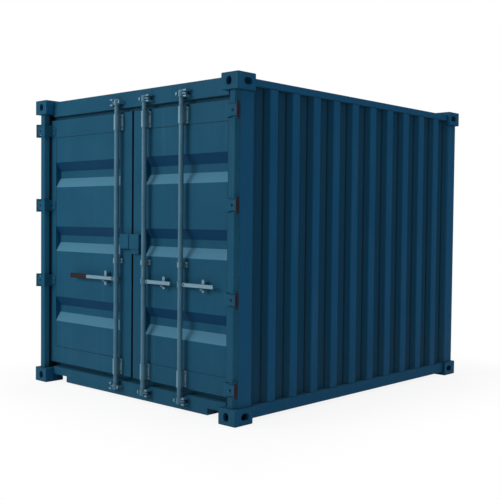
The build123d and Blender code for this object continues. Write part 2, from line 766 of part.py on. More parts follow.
def guides_of(x):
    """The three guides of one rod: a long sleeve at each end and a short collar between."""
    low = LEAF_LOW + SLEEVE_RISE
    high = LEAF_HIGH - SLEEVE_DROP
    spans = ((low, SLEEVE_TALL), (COLLAR_LEVEL, COLLAR_TALL), (high, SLEEVE_TALL))
    return [rod_guide(x, level, tall) for level, tall in spans]


def handle_catch(x, tall):
    """Rounded plate on a stand behind a handle, with a seat under it."""
    y = front(ROD_DEPTH) + CATCH_GAP
    low = HANDLE_LEVEL - HANDLE_TALL / 2 - CATCH_GAP
    with BuildPart() as catch:
        with BuildSketch(Plane.XZ.offset(-y)):
            with Locations((x, HANDLE_LEVEL)):
                SlotOverall(tall, CATCH_WIDE, rotation=90)
        extrude(amount=-CATCH_THICK)
        with BuildSketch(Plane.XZ.offset(-y)):
            with Locations((x, HANDLE_LEVEL)):
                SlotOverall(tall - CATCH_WIDE, CATCH_WIDE / 2, rotation=90)
        extrude(amount=y - front(PANEL_DEPTH))
        seat = (y - HANDLE_THICK - SEAT_LIP, y)
        block((x - CATCH_WIDE / 2, x + CATCH_WIDE / 2), seat, (low - SEAT_THICK, low))
        fillet(catch.edges().filter_by(Axis.Z).sort_by(Axis.Y)[0:2], SEAT_THICK)
    return catch


def lock_cover(tiers):
    """Half of the lock cover: rounded shells from the top down, open below and backed by the leaf."""
    back = front(LEAF_DEPTH)
    with BuildPart() as cover:
        for x, low, high, depth in tiers:
            with BuildSketch(Plane.XY.offset(low)) as section:
                with Locations(((x[0] + x[1]) / 2, (front(depth) + back) / 2)):
                    Rectangle(x[1] - x[0], back - front(depth))
                fillet(section.vertices().sort_by(Axis.Y)[0:2], BOX_ROUND)
            extrude(amount=high - low)
        for x, low, high, depth in tiers:
            floor_low = low if low == tiers[-1][1] else low + BOX_WALL
            lid_high = high - BOX_WALL if high == tiers[0][2] else high + BOX_WALL
            hollow_x = (x[0] + BOX_WALL, x[1] - BOX_WALL)
            hollow_y = (front(depth + BOX_WALL), back)
            block(hollow_x, hollow_y, (floor_low, lid_high), mode=Mode.SUBTRACT)
    return cover


def keeper(x, hand, level):
    """Keeper of one cam: jaws above and below its toe, and a horn on the hub's other side."""
    y = (front(RAIL_DEPTH - JAW_OUT), front(RAIL_DEPTH))
    slot = JAW_SLOT / 2
    near = CAM_R + JAW_CLEAR
    spans = (
        (hand * near, hand * (near + JAW_LONG), level + slot, level + slot + JAW_TALL),
        (hand * near, hand * (near + JAW_LONG), level - slot - JAW_TALL, level - slot),
        (-hand * near, -hand * (near + HORN_LONG), level - slot, level + slot),
    )
    pieces = []
    for start, stop, low, high in spans:
        with BuildPart() as piece:
            block((x + start, x + stop), y, (low, high))
            fillet(piece.edges().filter_by(Axis.X).group_by(Axis.Y)[0], JAW_ROUND)
        pieces.append(piece)
    return pieces


# body of the container
right_front_casting = corner_casting()
right_castings = gathered([right_front_casting, mirrored(right_front_casting, Plane.XZ)])

top_corner_castings = gathered([right_castings, mirrored(right_castings)])
top_corner_castings.part.label = "top_corner_castings"

bottom_corner_castings = mirrored(top_corner_castings, Plane.XY.offset(HEIGHT / 2))
bottom_corner_castings.part.label = "bottom_corner_castings"

door_post_right = door_post()
door_post_right.part.label = "door_post_right"

door_post_left = mirrored(door_post_right)
door_post_left.part.label = "door_post_left"

rear_post_right = rear_post()
rear_post_right.part.label = "rear_post_right"

rear_post_left = mirrored(rear_post_right)
rear_post_left.part.label = "rear_post_left"

door_header = header()
door_header.part.label = "door_header"

door_sill = sill()
door_sill.part.label = "door_sill"

REAR_RAIL_SPAN = (rear(REAR_RAIL_SET + REAR_RAIL_Y), rear(REAR_RAIL_SET))

rear_top_rail = cross_rail(REAR_RAIL_SPAN, (TOP_RAIL_LOW, TOP_RAIL_HIGH), TOP_RAIL_WALL)
rear_top_rail.part.label = "rear_top_rail"

rear_bottom_rail = cross_rail(REAR_RAIL_SPAN, (CAST_Z - LOW_RAIL_TALL, CAST_Z), FRAME_WALL)
rear_bottom_rail.part.label = "rear_bottom_rail"

top_side_rail_right = top_side_rail()
top_side_rail_right.part.label = "top_side_rail_right"

top_side_rail_left = mirrored(top_side_rail_right)
top_side_rail_left.part.label = "top_side_rail_left"

bottom_side_rail_right = low_side_rail()
bottom_side_rail_right.part.label = "bottom_side_rail_right"

bottom_side_rail_left = mirrored(bottom_side_rail_right)
bottom_side_rail_left.part.label = "bottom_side_rail_left"

side_wall_right = side_wall()
side_wall_right.part.label = "side_wall_right"

side_wall_left = mirrored(side_wall_right)
side_wall_left.part.label = "side_wall_left"

rear_wall = blind_wall()
rear_wall.part.label = "rear_wall"

roof_panel = roof()
roof_panel.part.label = "roof_panel"

floor_boards = floor()
floor_boards.part.label = "floor_boards"

floor_cross_members = cross_members()
floor_cross_members.part.label = "floor_cross_members"

# hinge pins on the posts, and keepers on the header and the sill
hinge_lugs_right = gathered([hinge_lug(hinge_level(place)) for place in RIGHT_HINGES])
hinge_lugs_right.part.label = "hinge_lugs_right"

hinge_lugs_left = mirrored(gathered([hinge_lug(hinge_level(place)) for place in LEFT_HINGES]))
hinge_lugs_left.part.label = "hinge_lugs_left"

RODS = ((LEFT_ROD_X, -1), (MIDDLE_ROD_X, 1), (RIGHT_ROD_X, 1))

cam_keepers_top = gathered([piece for x, hand in RODS for piece in keeper(x, hand, CAM_TOP)])
cam_keepers_top.part.label = "cam_keepers_top"

cam_keepers_bottom = gathered([piece for x, hand in RODS for piece in keeper(x, hand, CAM_LOW)])
cam_keepers_bottom.part.label = "cam_keepers_bottom"

# right-hand door
right_door_frame = leaf_frame()
right_door_frame.part.label = "right_door_frame"

right_door_panel = leaf_panel()
right_door_panel.part.label = "right_door_panel"

right_door_gasket = leaf_seal()
right_door_gasket.part.label = "right_door_gasket"

right_hinge_blades = gathered([hinge_strap(hinge_level(place)) for place in RIGHT_HINGES])
right_hinge_blades.part.label = "right_hinge_blades"

right_rod_guides = gathered(guides_of(MIDDLE_ROD_X) + guides_of(RIGHT_ROD_X))
right_rod_guides.part.label = "right_rod_guides"

MIDDLE_CATCH_X = RIGHT_ROD_X - MIDDLE_CATCH
RIGHT_CATCH_X = FIELD_OUT - RIGHT_CATCH
right_handle_retainers = gathered([handle_catch(x, CATCH_TALL) for x in (MIDDLE_CATCH_X, RIGHT_CATCH_X)])
right_handle_retainers.part.label = "right_handle_retainers"

UPPER_TIER = ((BOX_GAP, BOX_RIGHT), BOX_LOW, BOX_HIGH, BOX_DEPTH)
LOWER_TIER = ((LEAF_IN, BOX_RIGHT - STEP_INSET), BOX_LOW - STEP_TALL, BOX_LOW, STEP_DEPTH)
right_lock_box = lock_cover((UPPER_TIER, LOWER_TIER))
right_lock_box.part.label = "right_lock_box"

middle_lock_rod = lock_rod(MIDDLE_ROD_X, 1)
middle_lock_rod.part.label = "middle_lock_rod"

middle_cam_toes = cam_toes(MIDDLE_ROD_X, 1)
middle_cam_toes.part.label = "middle_cam_toes"

right_lock_rod = lock_rod(RIGHT_ROD_X, 1)
right_lock_rod.part.label = "right_lock_rod"

right_cam_toes = cam_toes(RIGHT_ROD_X, 1)
right_cam_toes.part.label = "right_cam_toes"

middle_rod_handle = rod_handle(MIDDLE_ROD_X, 1, RIGHT_ROD_X - MIDDLE_END_SPACE)
middle_rod_handle.part.label = "middle_rod_handle"

right_rod_handle = rod_handle(RIGHT_ROD_X, 1, FIELD_OUT - RIGHT_END_SPACE)
right_rod_handle.part.label = "right_rod_handle"

# left-hand door
left_door_frame = mirrored(right_door_frame)
left_door_frame.part.label = "left_door_frame"

left_door_panel = mirrored(right_door_panel)
left_door_panel.part.label = "left_door_panel"

left_door_gasket = mirrored(right_door_gasket)
left_door_gasket.part.label = "left_door_gasket"

left_hinge_blades = mirrored(gathered([hinge_strap(hinge_level(place)) for place in LEFT_HINGES]))
left_hinge_blades.part.label = "left_hinge_blades"

left_rod_guides = gathered(guides_of(LEFT_ROD_X))
left_rod_guides.part.label = "left_rod_guides"

left_handle_retainer = handle_catch(LEFT_ROD_X - LEFT_CATCH, LONG_CATCH_TALL)
left_handle_retainer.part.label = "left_handle_retainer"

left_lock_box = lock_cover((((BOX_LEFT, -BOX_GAP), BOX_LOW, BOX_HIGH, BOX_DEPTH),))
left_lock_box.part.label = "left_lock_box"

left_lock_rod = lock_rod(LEFT_ROD_X, -1)
left_lock_rod.part.label = "left_lock_rod"

left_cam_toes = cam_toes(LEFT_ROD_X, -1)
left_cam_toes.part.label = "left_cam_toes"

LEFT_HANDLE_END = -FIELD_OUT + LEFT_END_SPACE
left_rod_handle = rod_handle(LEFT_ROD_X, -1, LEFT_HANDLE_END)
left_rod_handle.part.label = "left_rod_handle"

left_handle_grip = handle_grip(LEFT_HANDLE_END, -1, left_rod_handle)
left_handle_grip.part.label = "left_handle_grip"

PIECES = (
    top_corner_castings,
    bottom_corner_castings,
    door_post_right,
    door_post_left,
    rear_post_right,
    rear_post_left,
    door_header,
    door_sill,
    rear_top_rail,
    rear_bottom_rail,
    top_side_rail_right,
    top_side_rail_left,
    bottom_side_rail_right,
    bottom_side_rail_left,
    side_wall_right,
    side_wall_left,
    rear_wall,
    roof_panel,
    floor_boards,
    floor_cross_members,
    hinge_lugs_right,
    hinge_lugs_left,
    cam_keepers_top,
    cam_keepers_bottom,
    right_door_frame,
    right_door_panel,
    right_door_gasket,
    right_hinge_blades,
    right_rod_guides,
    right_handle_retainers,
    right_lock_box,
    middle_lock_rod,
    middle_cam_toes,
    right_lock_rod,
    right_cam_toes,
    middle_rod_handle,
    right_rod_handle,
    left_door_frame,
    left_door_panel,
    left_door_gasket,
    left_hinge_blades,
    left_rod_guides,
    left_handle_retainer,
    left_lock_box,
    left_lock_rod,
    left_cam_toes,
    left_rod_handle,
    left_handle_grip,
)

os.makedirs("parts", exist_ok=True)
for piece in PIECES:
    export_step(piece.part, f"parts/{piece.part.label}.step")
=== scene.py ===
"""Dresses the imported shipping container: paint, worn edges, welds, seals, timber and the studio round it.

Lengths are in metres. X runs across the container, Y along it and Z up, and the doors close the end at
minus Y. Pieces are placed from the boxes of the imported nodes, and ride on the bodies that carry them.
"""

from __future__ import annotations

import json
import logging
import math
from dataclasses import dataclass, replace
from enum import Enum
from functools import cached_property
from typing import Mapping, Sequence

import bmesh
import bpy
import numpy as np
from mathutils import Matrix, Vector

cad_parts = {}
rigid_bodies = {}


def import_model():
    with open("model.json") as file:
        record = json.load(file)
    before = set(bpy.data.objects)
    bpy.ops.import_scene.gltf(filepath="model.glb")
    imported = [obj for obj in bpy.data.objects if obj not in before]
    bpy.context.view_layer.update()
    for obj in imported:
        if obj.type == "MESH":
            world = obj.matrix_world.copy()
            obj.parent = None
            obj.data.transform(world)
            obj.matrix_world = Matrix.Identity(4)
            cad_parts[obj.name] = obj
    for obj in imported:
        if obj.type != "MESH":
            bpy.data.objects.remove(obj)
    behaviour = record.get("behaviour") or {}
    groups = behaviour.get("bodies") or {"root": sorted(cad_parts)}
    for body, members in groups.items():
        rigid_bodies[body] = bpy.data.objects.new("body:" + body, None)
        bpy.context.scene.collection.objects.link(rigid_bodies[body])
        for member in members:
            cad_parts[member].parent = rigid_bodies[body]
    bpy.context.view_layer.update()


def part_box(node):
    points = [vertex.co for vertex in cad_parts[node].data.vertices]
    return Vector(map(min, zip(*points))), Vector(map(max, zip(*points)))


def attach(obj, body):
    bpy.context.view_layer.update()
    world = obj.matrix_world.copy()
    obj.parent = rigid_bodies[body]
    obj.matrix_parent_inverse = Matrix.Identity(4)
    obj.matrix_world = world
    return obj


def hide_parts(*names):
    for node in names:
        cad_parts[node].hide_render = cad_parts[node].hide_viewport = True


log = logging.getLogger("container")

# Widths of a corner casting along X and Y.
CASTING_X = 0.162
CASTING_Y = 0.178
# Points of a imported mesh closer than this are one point.
ONE_POINT = 0.00002
WHITE = (1.0, 1.0, 1.0, 1.0)
# Places of X and Y in a point, and of a skin's finishes among its materials.
X, Y = 0, 1
OUTSIDE, EDGE, INSIDE = 0, 1, 2

Material = bpy.types.Material
Piece = bpy.types.Object
Point = Sequence[float]
Pair = tuple[float, float]
Triple = tuple[float, float, float]
Colour = Triple
Faces = list[list[int]]


class Side(Enum):
    """The two sides of the container, as signs of X."""

    LEFT = -1
    RIGHT = 1

    @property
    def word(self) -> str:
        """The side's name in lower case."""
        return self.name.lower()


class Body(Enum):
    """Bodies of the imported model."""

    CONTAINER = "container"
    LEFT_DOOR = "left_door"
    RIGHT_DOOR = "right_door"
    LEFT_ROD = "left_rod"
    MIDDLE_ROD = "middle_rod"
    RIGHT_ROD = "right_rod"
    LEFT_HANDLE = "left_handle"
    MIDDLE_HANDLE = "middle_handle"
    RIGHT_HANDLE = "right_handle"


class Slot(Enum):
    """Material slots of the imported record."""

    PAINT = "blue_paint"
    STEEL = "rod_steel"
    RUBBER = "seal_rubber"
    GRIP = "grip_plastic"
    TIMBER = "floor_plywood"


def linear(red: int, green: int, blue: int) -> Colour:
    """Turns an sRGB colour of 0 to 255 into the linear values that shaders use.

    Each channel c becomes ((c + 0.055) / 1.055) to the power 2.4, or c / 12.92 near black.

    Args:
        red: Red, 0 to 255.
        green: Green, 0 to 255.
        blue: Blue, 0 to 255.

    Returns:
        The three linear values.
    """
    values = (channel / 255 for channel in (red, green, blue))
    return tuple(c / 12.92 if c <= 0.04045 else ((c + 0.055) / 1.055) ** 2.4 for c in values)


class Value:
    """A node's output that takes part in arithmetic."""

    def __init__(self, graph: Graph, socket: bpy.types.NodeSocket) -> None:
        """Keeps the graph and the socket."""
        self.graph = graph
        self.socket = socket

    def _maths(self, operation: str, first: Number, second: Number = 0.0) -> Value:
        """Adds one Math node."""
        return self.graph.node("ShaderNodeMath", {"operation": operation}, {0: first, 1: second})

    def __add__(self, other: Number) -> Value:
        """Sum."""
        return self._maths("ADD", self, other)

    __radd__ = __add__

    def __sub__(self, other: Number) -> Value:
        """Difference."""
        return self._maths("SUBTRACT", self, other)

    def __rsub__(self, other: Number) -> Value:
        """Difference from a number on the left."""
        return self._maths("SUBTRACT", other, self)

    def __mul__(self, other: Number) -> Value:
        """Product."""
        return self._maths("MULTIPLY", self, other)

    __rmul__ = __mul__

    def __neg__(self) -> Value:
        """The opposite value."""
        return self * -1.0

    def __abs__(self) -> Value:
        """The value without its sign."""
        return self._maths("ABSOLUTE", self)

    def larger(self, other: Number) -> Value:
        """The larger of this value and another."""
        return self._maths("MAXIMUM", self, other)

    def wrapped(self) -> Value:
        """The fraction of the value above its whole part."""
        return self._maths("FRACT", self)

    def rise(self, low: float, high: float) -> Value:
        """Smooth step from 0 at low to 1 at high.

        Args:
            low: Value at which the step leaves 0.
            high: Value at which it reaches 1.

        Returns:
            The stepped value.
        """
        settings = {"interpolation_type": "SMOOTHSTEP"}
        inputs = {"Value": self, "From Min": low, "From Max": high}
        return self.graph.node("ShaderNodeMapRange", settings, inputs)


Number = float | Value


class Graph:
    """The node tree of a material or a world, written as expressions."""

    def __init__(self, name: str, kind: str = "materials") -> None:
        """Makes the owner of the tree and clears the tree.

        Args:
            name: The owner's name.
            kind: The collection of bpy.data that keeps it.
        """
        self.owner = getattr(bpy.data, kind).new(name)
        self.owner.use_nodes = True
        self.tree = self.owner.node_tree
        self.tree.nodes.clear()

    def node(
        self,
        kind: str,
        settings: Mapping[str, object] | None = None,
        inputs: Mapping[int | str, object] | None = None,
        output: int | str = 0,
    ) -> Value:
        """Adds a node, sets it and fills its sockets.

        Args:
            kind: The node's type.
            settings: Properties of the node, set before its sockets.
            inputs: Values or links, by socket number, name or identifier.
            output: The output that is returned.

        Returns:
            The chosen output.
        """
        made = self.tree.nodes.new(kind)
        for key, setting in (settings or {}).items():
            setattr(made, key, setting)
        for key, given in (inputs or {}).items():
            socket = self.find(made.inputs, key)
            if isinstance(given, Value):
                self.tree.links.new(given.socket, socket)
            else:
                socket.default_value = given
        return Value(self, self.find(made.outputs, output) if made.outputs else None)

    @staticmethod
    def find(sockets: bpy.types.bpy_prop_collection, key: int | str) -> bpy.types.NodeSocket:
        """Finds a socket by number, identifier or name."""
        named = None if isinstance(key, int) else next((s for s in sockets if s.identifier == key), None)
        return named or sockets[key]

    @cached_property
    def place(self) -> Value:
        """Position on the piece, in metres."""
        return self.node("ShaderNodeTexCoord", output="Object")

    @cached_property
    def facing(self) -> Value:
        """Direction that the surface faces, in the piece's own axes."""
        return self.node("ShaderNodeTexCoord", output="Normal")

    def parts(self, vector: Value) -> tuple[Value, Value, Value]:
        """The three components of a vector."""
        outputs = self.node("ShaderNodeSeparateXYZ", inputs={0: vector}).socket.node.outputs
        return tuple(Value(self, outputs[i]) for i in range(3))

    def mixed(self, first: Colour | Value, second: Colour | Value, share: Number) -> Value:
        """Mixes two colours.

        Args:
            first: Colour at a share of 0.
            second: Colour at a share of 1.
            share: Share of the second colour.

        Returns:
            The mixed colour.
        """
        ends = [c if isinstance(c, Value) else (*c, 1.0) for c in (first, second)]
        inputs = {"Factor_Float": share, "A_Color": ends[0], "B_Color": ends[1]}
        return self.node("ShaderNodeMix", {"data_type": "RGBA"}, inputs, "Result_Color")

    def bump(self, height: Value, strength: float, distance: float) -> Value:
        """Normal of a surface raised by a height."""
        inputs = {"Height": height, "Strength": strength, "Distance": distance}
        return self.node("ShaderNodeBump", inputs=inputs)

    def surface(self, **sockets: object) -> Material:
        """Joins a Principled shader to the output.

        Args:
            **sockets: Values or links of the shader's sockets, with underscores for spaces.

        Returns:
            The finished material.
        """
        inputs = {key.replace("_", " "): value for key, value in sockets.items()}
        shader = self.node("ShaderNodeBsdfPrincipled", inputs=inputs)
        self.node("ShaderNodeOutputMaterial", inputs={"Surface": shader})
        return self.owner


@dataclass(frozen=True)
class Noise:
    """Fractal noise between 0 and 1: patches to the metre, finer layers and how strong each layer is.

    Most of it lies between 0.3 and 0.7, so the steps that cut patches out of it stand inside that span.
    """

    scale: float
    detail: float
    rough: float
    stretch: Triple | None = None

    def read(self, g: Graph) -> Value:
        """Reads the noise at the position on the piece, stretched along each axis where a stretch is given.

        Args:
            g: The material's graph.

        Returns:
            The noise.
        """
        place = g.place
        if self.stretch:
            place = g.node("ShaderNodeVectorMath", {"operation": "MULTIPLY"}, {0: place, 1: self.stretch})
        inputs = {"Vector": place, "Scale": self.scale, "Detail": self.detail, "Roughness": self.rough}
        return g.node("ShaderNodeTexNoise", inputs=inputs)


@dataclass(frozen=True)
class Hollow:
    """How far a face lies back from the outermost one, measured along one axis from the middle."""

    axis: int
    outer: float
    start: float = 0.001
    stop: float = 0.007
    square: Pair = (0.88, 0.96)

    def depth(self, g: Graph) -> Value:
        """Distance in from the outermost face."""
        return self.outer - abs(g.parts(g.place)[self.axis])

    def share(self, g: Graph) -> Value:
        """Rises from 0 at the start depth to 1 at the stop depth."""
        return self.depth(g).rise(self.start, self.stop)

    def slant(self, g: Graph) -> Value:
        """Is 1 on faces that slope away from the axis, and 0 on those square to it."""
        return 1 - abs(g.parts(g.facing)[self.axis]).rise(*self.square)


@dataclass(frozen=True)
class Paint:
    """Marine paint on steel, mottled, streaked by rain and dusty near the ground, with optional painted light
    and shade on its slopes, sides and set-back faces.
    """

    name: str
    base: Colour = linear(22, 80, 107)
    deep: Colour = linear(18, 70, 96)
    # Chalky paint of rain streaks and scuffs, also the painted highlight on upward slopes.
    chalk_and_highlight: Colour = linear(74, 126, 151)
    shade: Colour = linear(2, 54, 87)
    highlight_share: float = 0.0
    shaded: float = 0.0
    # Tone of faces that look along X: painted shading of the sides.
    side_shading: Colour | None = None
    side_shading_share: float = 0.9
    hollow: Hollow | None = None
    hollow_share: float = 0.95
    # Colour of the painted shade line at the feet of slopes.
    crease: Colour | None = None
    crease_share: float = 0.8
    crease_depth: Pair = (0.025, 0.032)
    dust: Colour = linear(86, 108, 114)
    dust_share: float = 0.10
    dust_specks: float = 0.04
    mottle: float = 0.55
    streak_share: float = 0.10
    scuff_share: float = 0.25
    cloud: Noise = Noise(1.7, 4.0, 0.6)
    speck: Noise = Noise(55.0, 4.0, 0.65)
    run: Noise = Noise(1.0, 4.0, 0.6, (16.0, 16.0, 0.9))
    scrape: Noise = Noise(1.0, 6.0, 0.72, (9.0, 9.0, 26.0))
    highlight_noise: Noise = Noise(14.0, 5.0, 0.6)
    dents: Noise = Noise(3.1, 2.0, 0.45)
    grain: Noise = Noise(260.0, 2.0, 0.5)
    grain_depth: float = 0.0005
    dent_depth: float = 0.004
    rough: float = 0.48
    gloss: float = 0.08

    def material(self) -> Material:
        """Builds the paint.

        Returns:
            The material.
        """
        g = Graph(self.name)
        _, _, z = g.parts(g.place)
        face_x, face_y, face_z = g.parts(g.facing)
        cloud, speck, run = (noise.read(g) for noise in (self.cloud, self.speck, self.run))
        scrape, grain, dents = (noise.read(g) for noise in (self.scrape, self.grain, self.dents))
        colour = g.mixed(self.base, self.deep, cloud.rise(0.30, 0.72) * self.mottle)
        # Painted shading: faces that look along X take the side colour, standing in for the weaker light on
        # the sides.
        if self.side_shading:
            colour = g.mixed(colour, self.side_shading, abs(face_x).rise(0.70, 0.95) * self.side_shading_share)
        colour = g.mixed(colour, self.chalk_and_highlight, run.rise(0.54, 0.80) * self.streak_share)
        colour = g.mixed(colour, self.deep, (1 - run.rise(0.24, 0.44)) * self.streak_share * 2.0)
        # Painted shade on faces turned away from minus Y that do not face up.
        if self.shaded:
            averted = (1 - (-face_y).rise(0.93, 0.99)) * (1 - face_z.rise(0.05, 0.20))
            colour = g.mixed(colour, self.shade, averted * self.shaded)
        # Painted highlight: upward-facing slopes take the chalk colour, standing in for light from above.
        if self.highlight_share:
            upward = face_z.rise(0.18, 0.40) * (1 - face_z.rise(0.80, 0.95))
            highlight_mask = upward * (0.84 + 0.16 * self.highlight_noise.read(g))
            colour = g.mixed(colour, self.chalk_and_highlight, highlight_mask * self.highlight_share)
        # Faces picked by their depth from the outermost face take the shade colour: this paints shade into
        # wall troughs and door gaps, and paints light onto the set-back lip by the doors.
        if self.hollow:
            colour = g.mixed(colour, self.shade, self.hollow.share(g) * self.hollow_share)
        # Painted shade: a dark line along the feet of the slopes, where the folds meet their troughs.
        if self.crease:
            foot = self.hollow.depth(g).rise(*self.crease_depth) * self.hollow.slant(g)
            colour = g.mixed(colour, self.crease, foot * self.crease_share)
        dusty = (1 - z.rise(0.02, 0.75)) * speck.rise(0.30, 0.74) * self.dust_share
        colour = g.mixed(colour, self.dust, dusty + speck.rise(0.60, 0.85) * self.dust_specks)
        worn = scrape.rise(0.70, 0.74) * self.scuff_share
        colour = g.mixed(colour, self.chalk_and_highlight, worn)
        height = grain * self.grain_depth + dents * self.dent_depth
        return g.surface(
            Base_Color=colour,
            Roughness=self.rough + 0.16 * cloud + 0.10 * speck - 0.12 * worn,
            Specular_IOR_Level=self.gloss,
            Normal=g.bump(height, 1.0, 1.0),
        )


@dataclass(frozen=True)
class WornEdge:
    """Paint rubbed thin along an edge, with bare and rusty spots where it has gone."""

    name: str
    paint: Colour
    thin: Colour
    bare: Colour = linear(104, 116, 120)
    rust: Colour = linear(84, 50, 40)
    bare_share: float = 0.35
    rust_share: float = 0.8
    wear: Noise = Noise(9.0, 6.0, 0.7)
    spots: Noise = Noise(34.0, 5.0, 0.65)

    def material(self) -> Material:
        """Builds the edge finish.

        Returns:
            The material.
        """
        g = Graph(self.name)
        spots = self.spots.read(g)
        rusty = spots.rise(0.52, 0.62)
        gone = self.wear.read(g).rise(0.60, 0.68) * self.bare_share
        colour = g.mixed(self.paint, self.thin, 0.35 + 0.65 * spots.rise(0.35, 0.65))
        colour = g.mixed(colour, self.bare, gone)
        colour = g.mixed(colour, self.rust, gone * rusty * self.rust_share)
        return g.surface(
            Base_Color=colour,
            Roughness=0.44 + 0.18 * spots,
            Metallic=gone * (1 - rusty) * 0.5,
            Specular_IOR_Level=0.12,
            Normal=g.bump(spots, 0.25, 0.0006),
        )


@dataclass(frozen=True)
class CoatedSteel:
    """Zinc-grey coated steel with rubbed bands, greasy dull patches and an optional painted highlight on
    faces that look to minus Y.
    """

    name: str
    base: Colour
    dull: Colour
    bright: Colour
    metal: float = 0.10
    # Share of the painted highlight on faces that look to minus Y.
    front_highlight: float = 0.0
    dull_share: float = 0.6
    bright_share: float = 0.45
    rust: Colour = linear(84, 56, 44)
    rust_share: float = 0.6
    cloud: Noise = Noise(6.0, 4.0, 0.6)
    speck: Noise = Noise(120.0, 3.0, 0.6)
    rub: Noise = Noise(1.0, 4.0, 0.6, (60.0, 60.0, 5.0))

    def material(self) -> Material:
        """Builds the coated steel.

        Returns:
            The material.
        """
        g = Graph(self.name)
        cloud, speck, rub = (noise.read(g) for noise in (self.cloud, self.speck, self.rub))
        colour = g.mixed(self.base, self.dull, cloud.rise(0.35, 0.70) * self.dull_share)
        colour = g.mixed(colour, self.bright, rub.rise(0.55, 0.75) * self.bright_share)
        # Painted highlight on faces that look to minus Y.
        if self.front_highlight:
            _, face_y, _ = g.parts(g.facing)
            colour = g.mixed(colour, self.bright, (-face_y).rise(0.94, 0.99) * self.front_highlight)
        rusty = speck.rise(0.66, 0.74) * cloud.rise(0.52, 0.62)
        colour = g.mixed(colour, self.rust, rusty * self.rust_share)
        return g.surface(
            Base_Color=colour,
            Roughness=0.34 + 0.22 * cloud + 0.2 * rusty,
            Metallic=self.metal * (1 - rusty),
            Specular_IOR_Level=0.3,
            Normal=g.bump(speck, 0.2, 0.0004),
        )


@dataclass(frozen=True)
class Moulded:
    """Finely textured rubber or plastic, changed in patches. Left as it is, black rubber greyed by dust."""

    name: str
    base: Colour = linear(20, 27, 30)
    patch: Colour = linear(40, 47, 50)
    patch_step: Pair = (0.42, 0.78)
    patch_share: float = 0.4
    cloud: Noise = Noise(11.0, 4.0, 0.6)
    fine: Noise = Noise(420.0, 2.0, 0.5)
    bite: float = 0.3
    rough: float = 0.62
    gloss: float = 0.12

    def material(self) -> Material:
        """Builds the moulded finish.

        Returns:
            The material.
        """
        g = Graph(self.name)
        cloud = self.cloud.read(g)
        return g.surface(
            Base_Color=g.mixed(self.base, self.patch, cloud.rise(*self.patch_step) * self.patch_share),
            Roughness=self.rough + 0.2 * cloud,
            Specular_IOR_Level=self.gloss,
            Normal=g.bump(self.fine.read(g), self.bite, 0.0003),
        )


@dataclass(frozen=True)
class GripPlastic(Moulded):
    """Dark moulded plastic, polished where it is held."""

    base: Colour = linear(34, 20, 24)
    patch: Colour = linear(44, 28, 32)
    patch_step: Pair = (0.4, 0.7)
    patch_share: float = 0.5
    cloud: Noise = Noise(18.0, 3.0, 0.5)
    fine: Noise = Noise(700.0, 2.0, 0.5)
    bite: float = 0.35
    rough: float = 0.46
    gloss: float = 0.15


@dataclass(frozen=True)
class Plywood:
    """Hardwood plywood: long figured grain, a different tone to each board, boot scuffs and stains."""

    name: str
    pale: Colour = linear(154, 108, 70)
    brown: Colour = linear(96, 60, 36)
    stain: Colour = linear(52, 38, 28)
    edge_pale: Colour = linear(178, 138, 96)
    pore_share: float = 0.45
    scuff_share: float = 0.55
    side_share: float = 0.8
    ply: float = 0.004
    figure: Noise = Noise(1.0, 6.0, 0.62, (38.0, 1.3, 38.0))
    pores: Noise = Noise(1.0, 3.0, 0.6, (420.0, 14.0, 420.0))
    tone: Noise = Noise(1.0, 0.0, 0.55, (3.4, 0.02, 0.02))
    scuff: Noise = Noise(5.5, 7.0, 0.72)

    def material(self) -> Material:
        """Builds the timber.

        Returns:
            The material.
        """
        g = Graph(self.name)
        _, _, z = g.parts(g.place)
        _, _, face_z = g.parts(g.facing)
        figure, pores, tone, scuff = (n.read(g) for n in (self.figure, self.pores, self.tone, self.scuff))
        plies = abs((z * (1 / self.ply)).wrapped() - 0.5).rise(0.18, 0.30)
        brown_share = figure.rise(0.30, 0.70) * 0.75 + tone.rise(0.3, 0.7) * 0.2
        colour = g.mixed(self.pale, self.brown, brown_share)
        colour = g.mixed(colour, self.stain, pores.rise(0.56, 0.70) * self.pore_share)
        colour = g.mixed(colour, self.stain, scuff.rise(0.56, 0.72) * self.scuff_share)
        side = 1 - face_z.rise(0.4, 0.7)
        colour = g.mixed(colour, g.mixed(self.edge_pale, self.brown, plies), side * self.side_share)
        return g.surface(
            Base_Color=colour,
            Roughness=0.50 + 0.22 * figure,
            Specular_IOR_Level=0.35,
            Normal=g.bump(pores + figure, 0.25, 0.0008),
        )


@dataclass
class Shape:
    """Points and faces of a mesh that is being put together."""

    points: np.ndarray
    faces: Faces

    def outward(self) -> Shape:
        """The shape with its faces turned outwards, by the sign of the volume that they enclose.

        The volume is a sixth of the sum, over every triangle of every face, of its corners' triple product.

        Returns:
            The shape, turned where the volume came out negative.
        """
        corners = np.array([(f[0], f[i], f[i + 1]) for f in self.faces for i in range(1, len(f) - 1)])
        a, b, c = (self.points[corners[:, k]] for k in range(3))
        if np.einsum("ij,ij->i", a, np.cross(b, c)).sum() < 0:
            return Shape(self.points, [face[::-1] for face in self.faces])
        return self


def all_joined(shapes: Sequence[Shape]) -> Shape:
    """Several shapes as one.

    Args:
        shapes: The shapes, at least one.

    Returns:
        The joined shape.
    """
    counts = np.cumsum([0] + [len(shape.points) for shape in shapes])
    faces = [[i + int(n) for i in face] for shape, n in zip(shapes, counts) for face in shape.faces]
    return Shape(np.vstack([shape.points for shape in shapes]), faces)


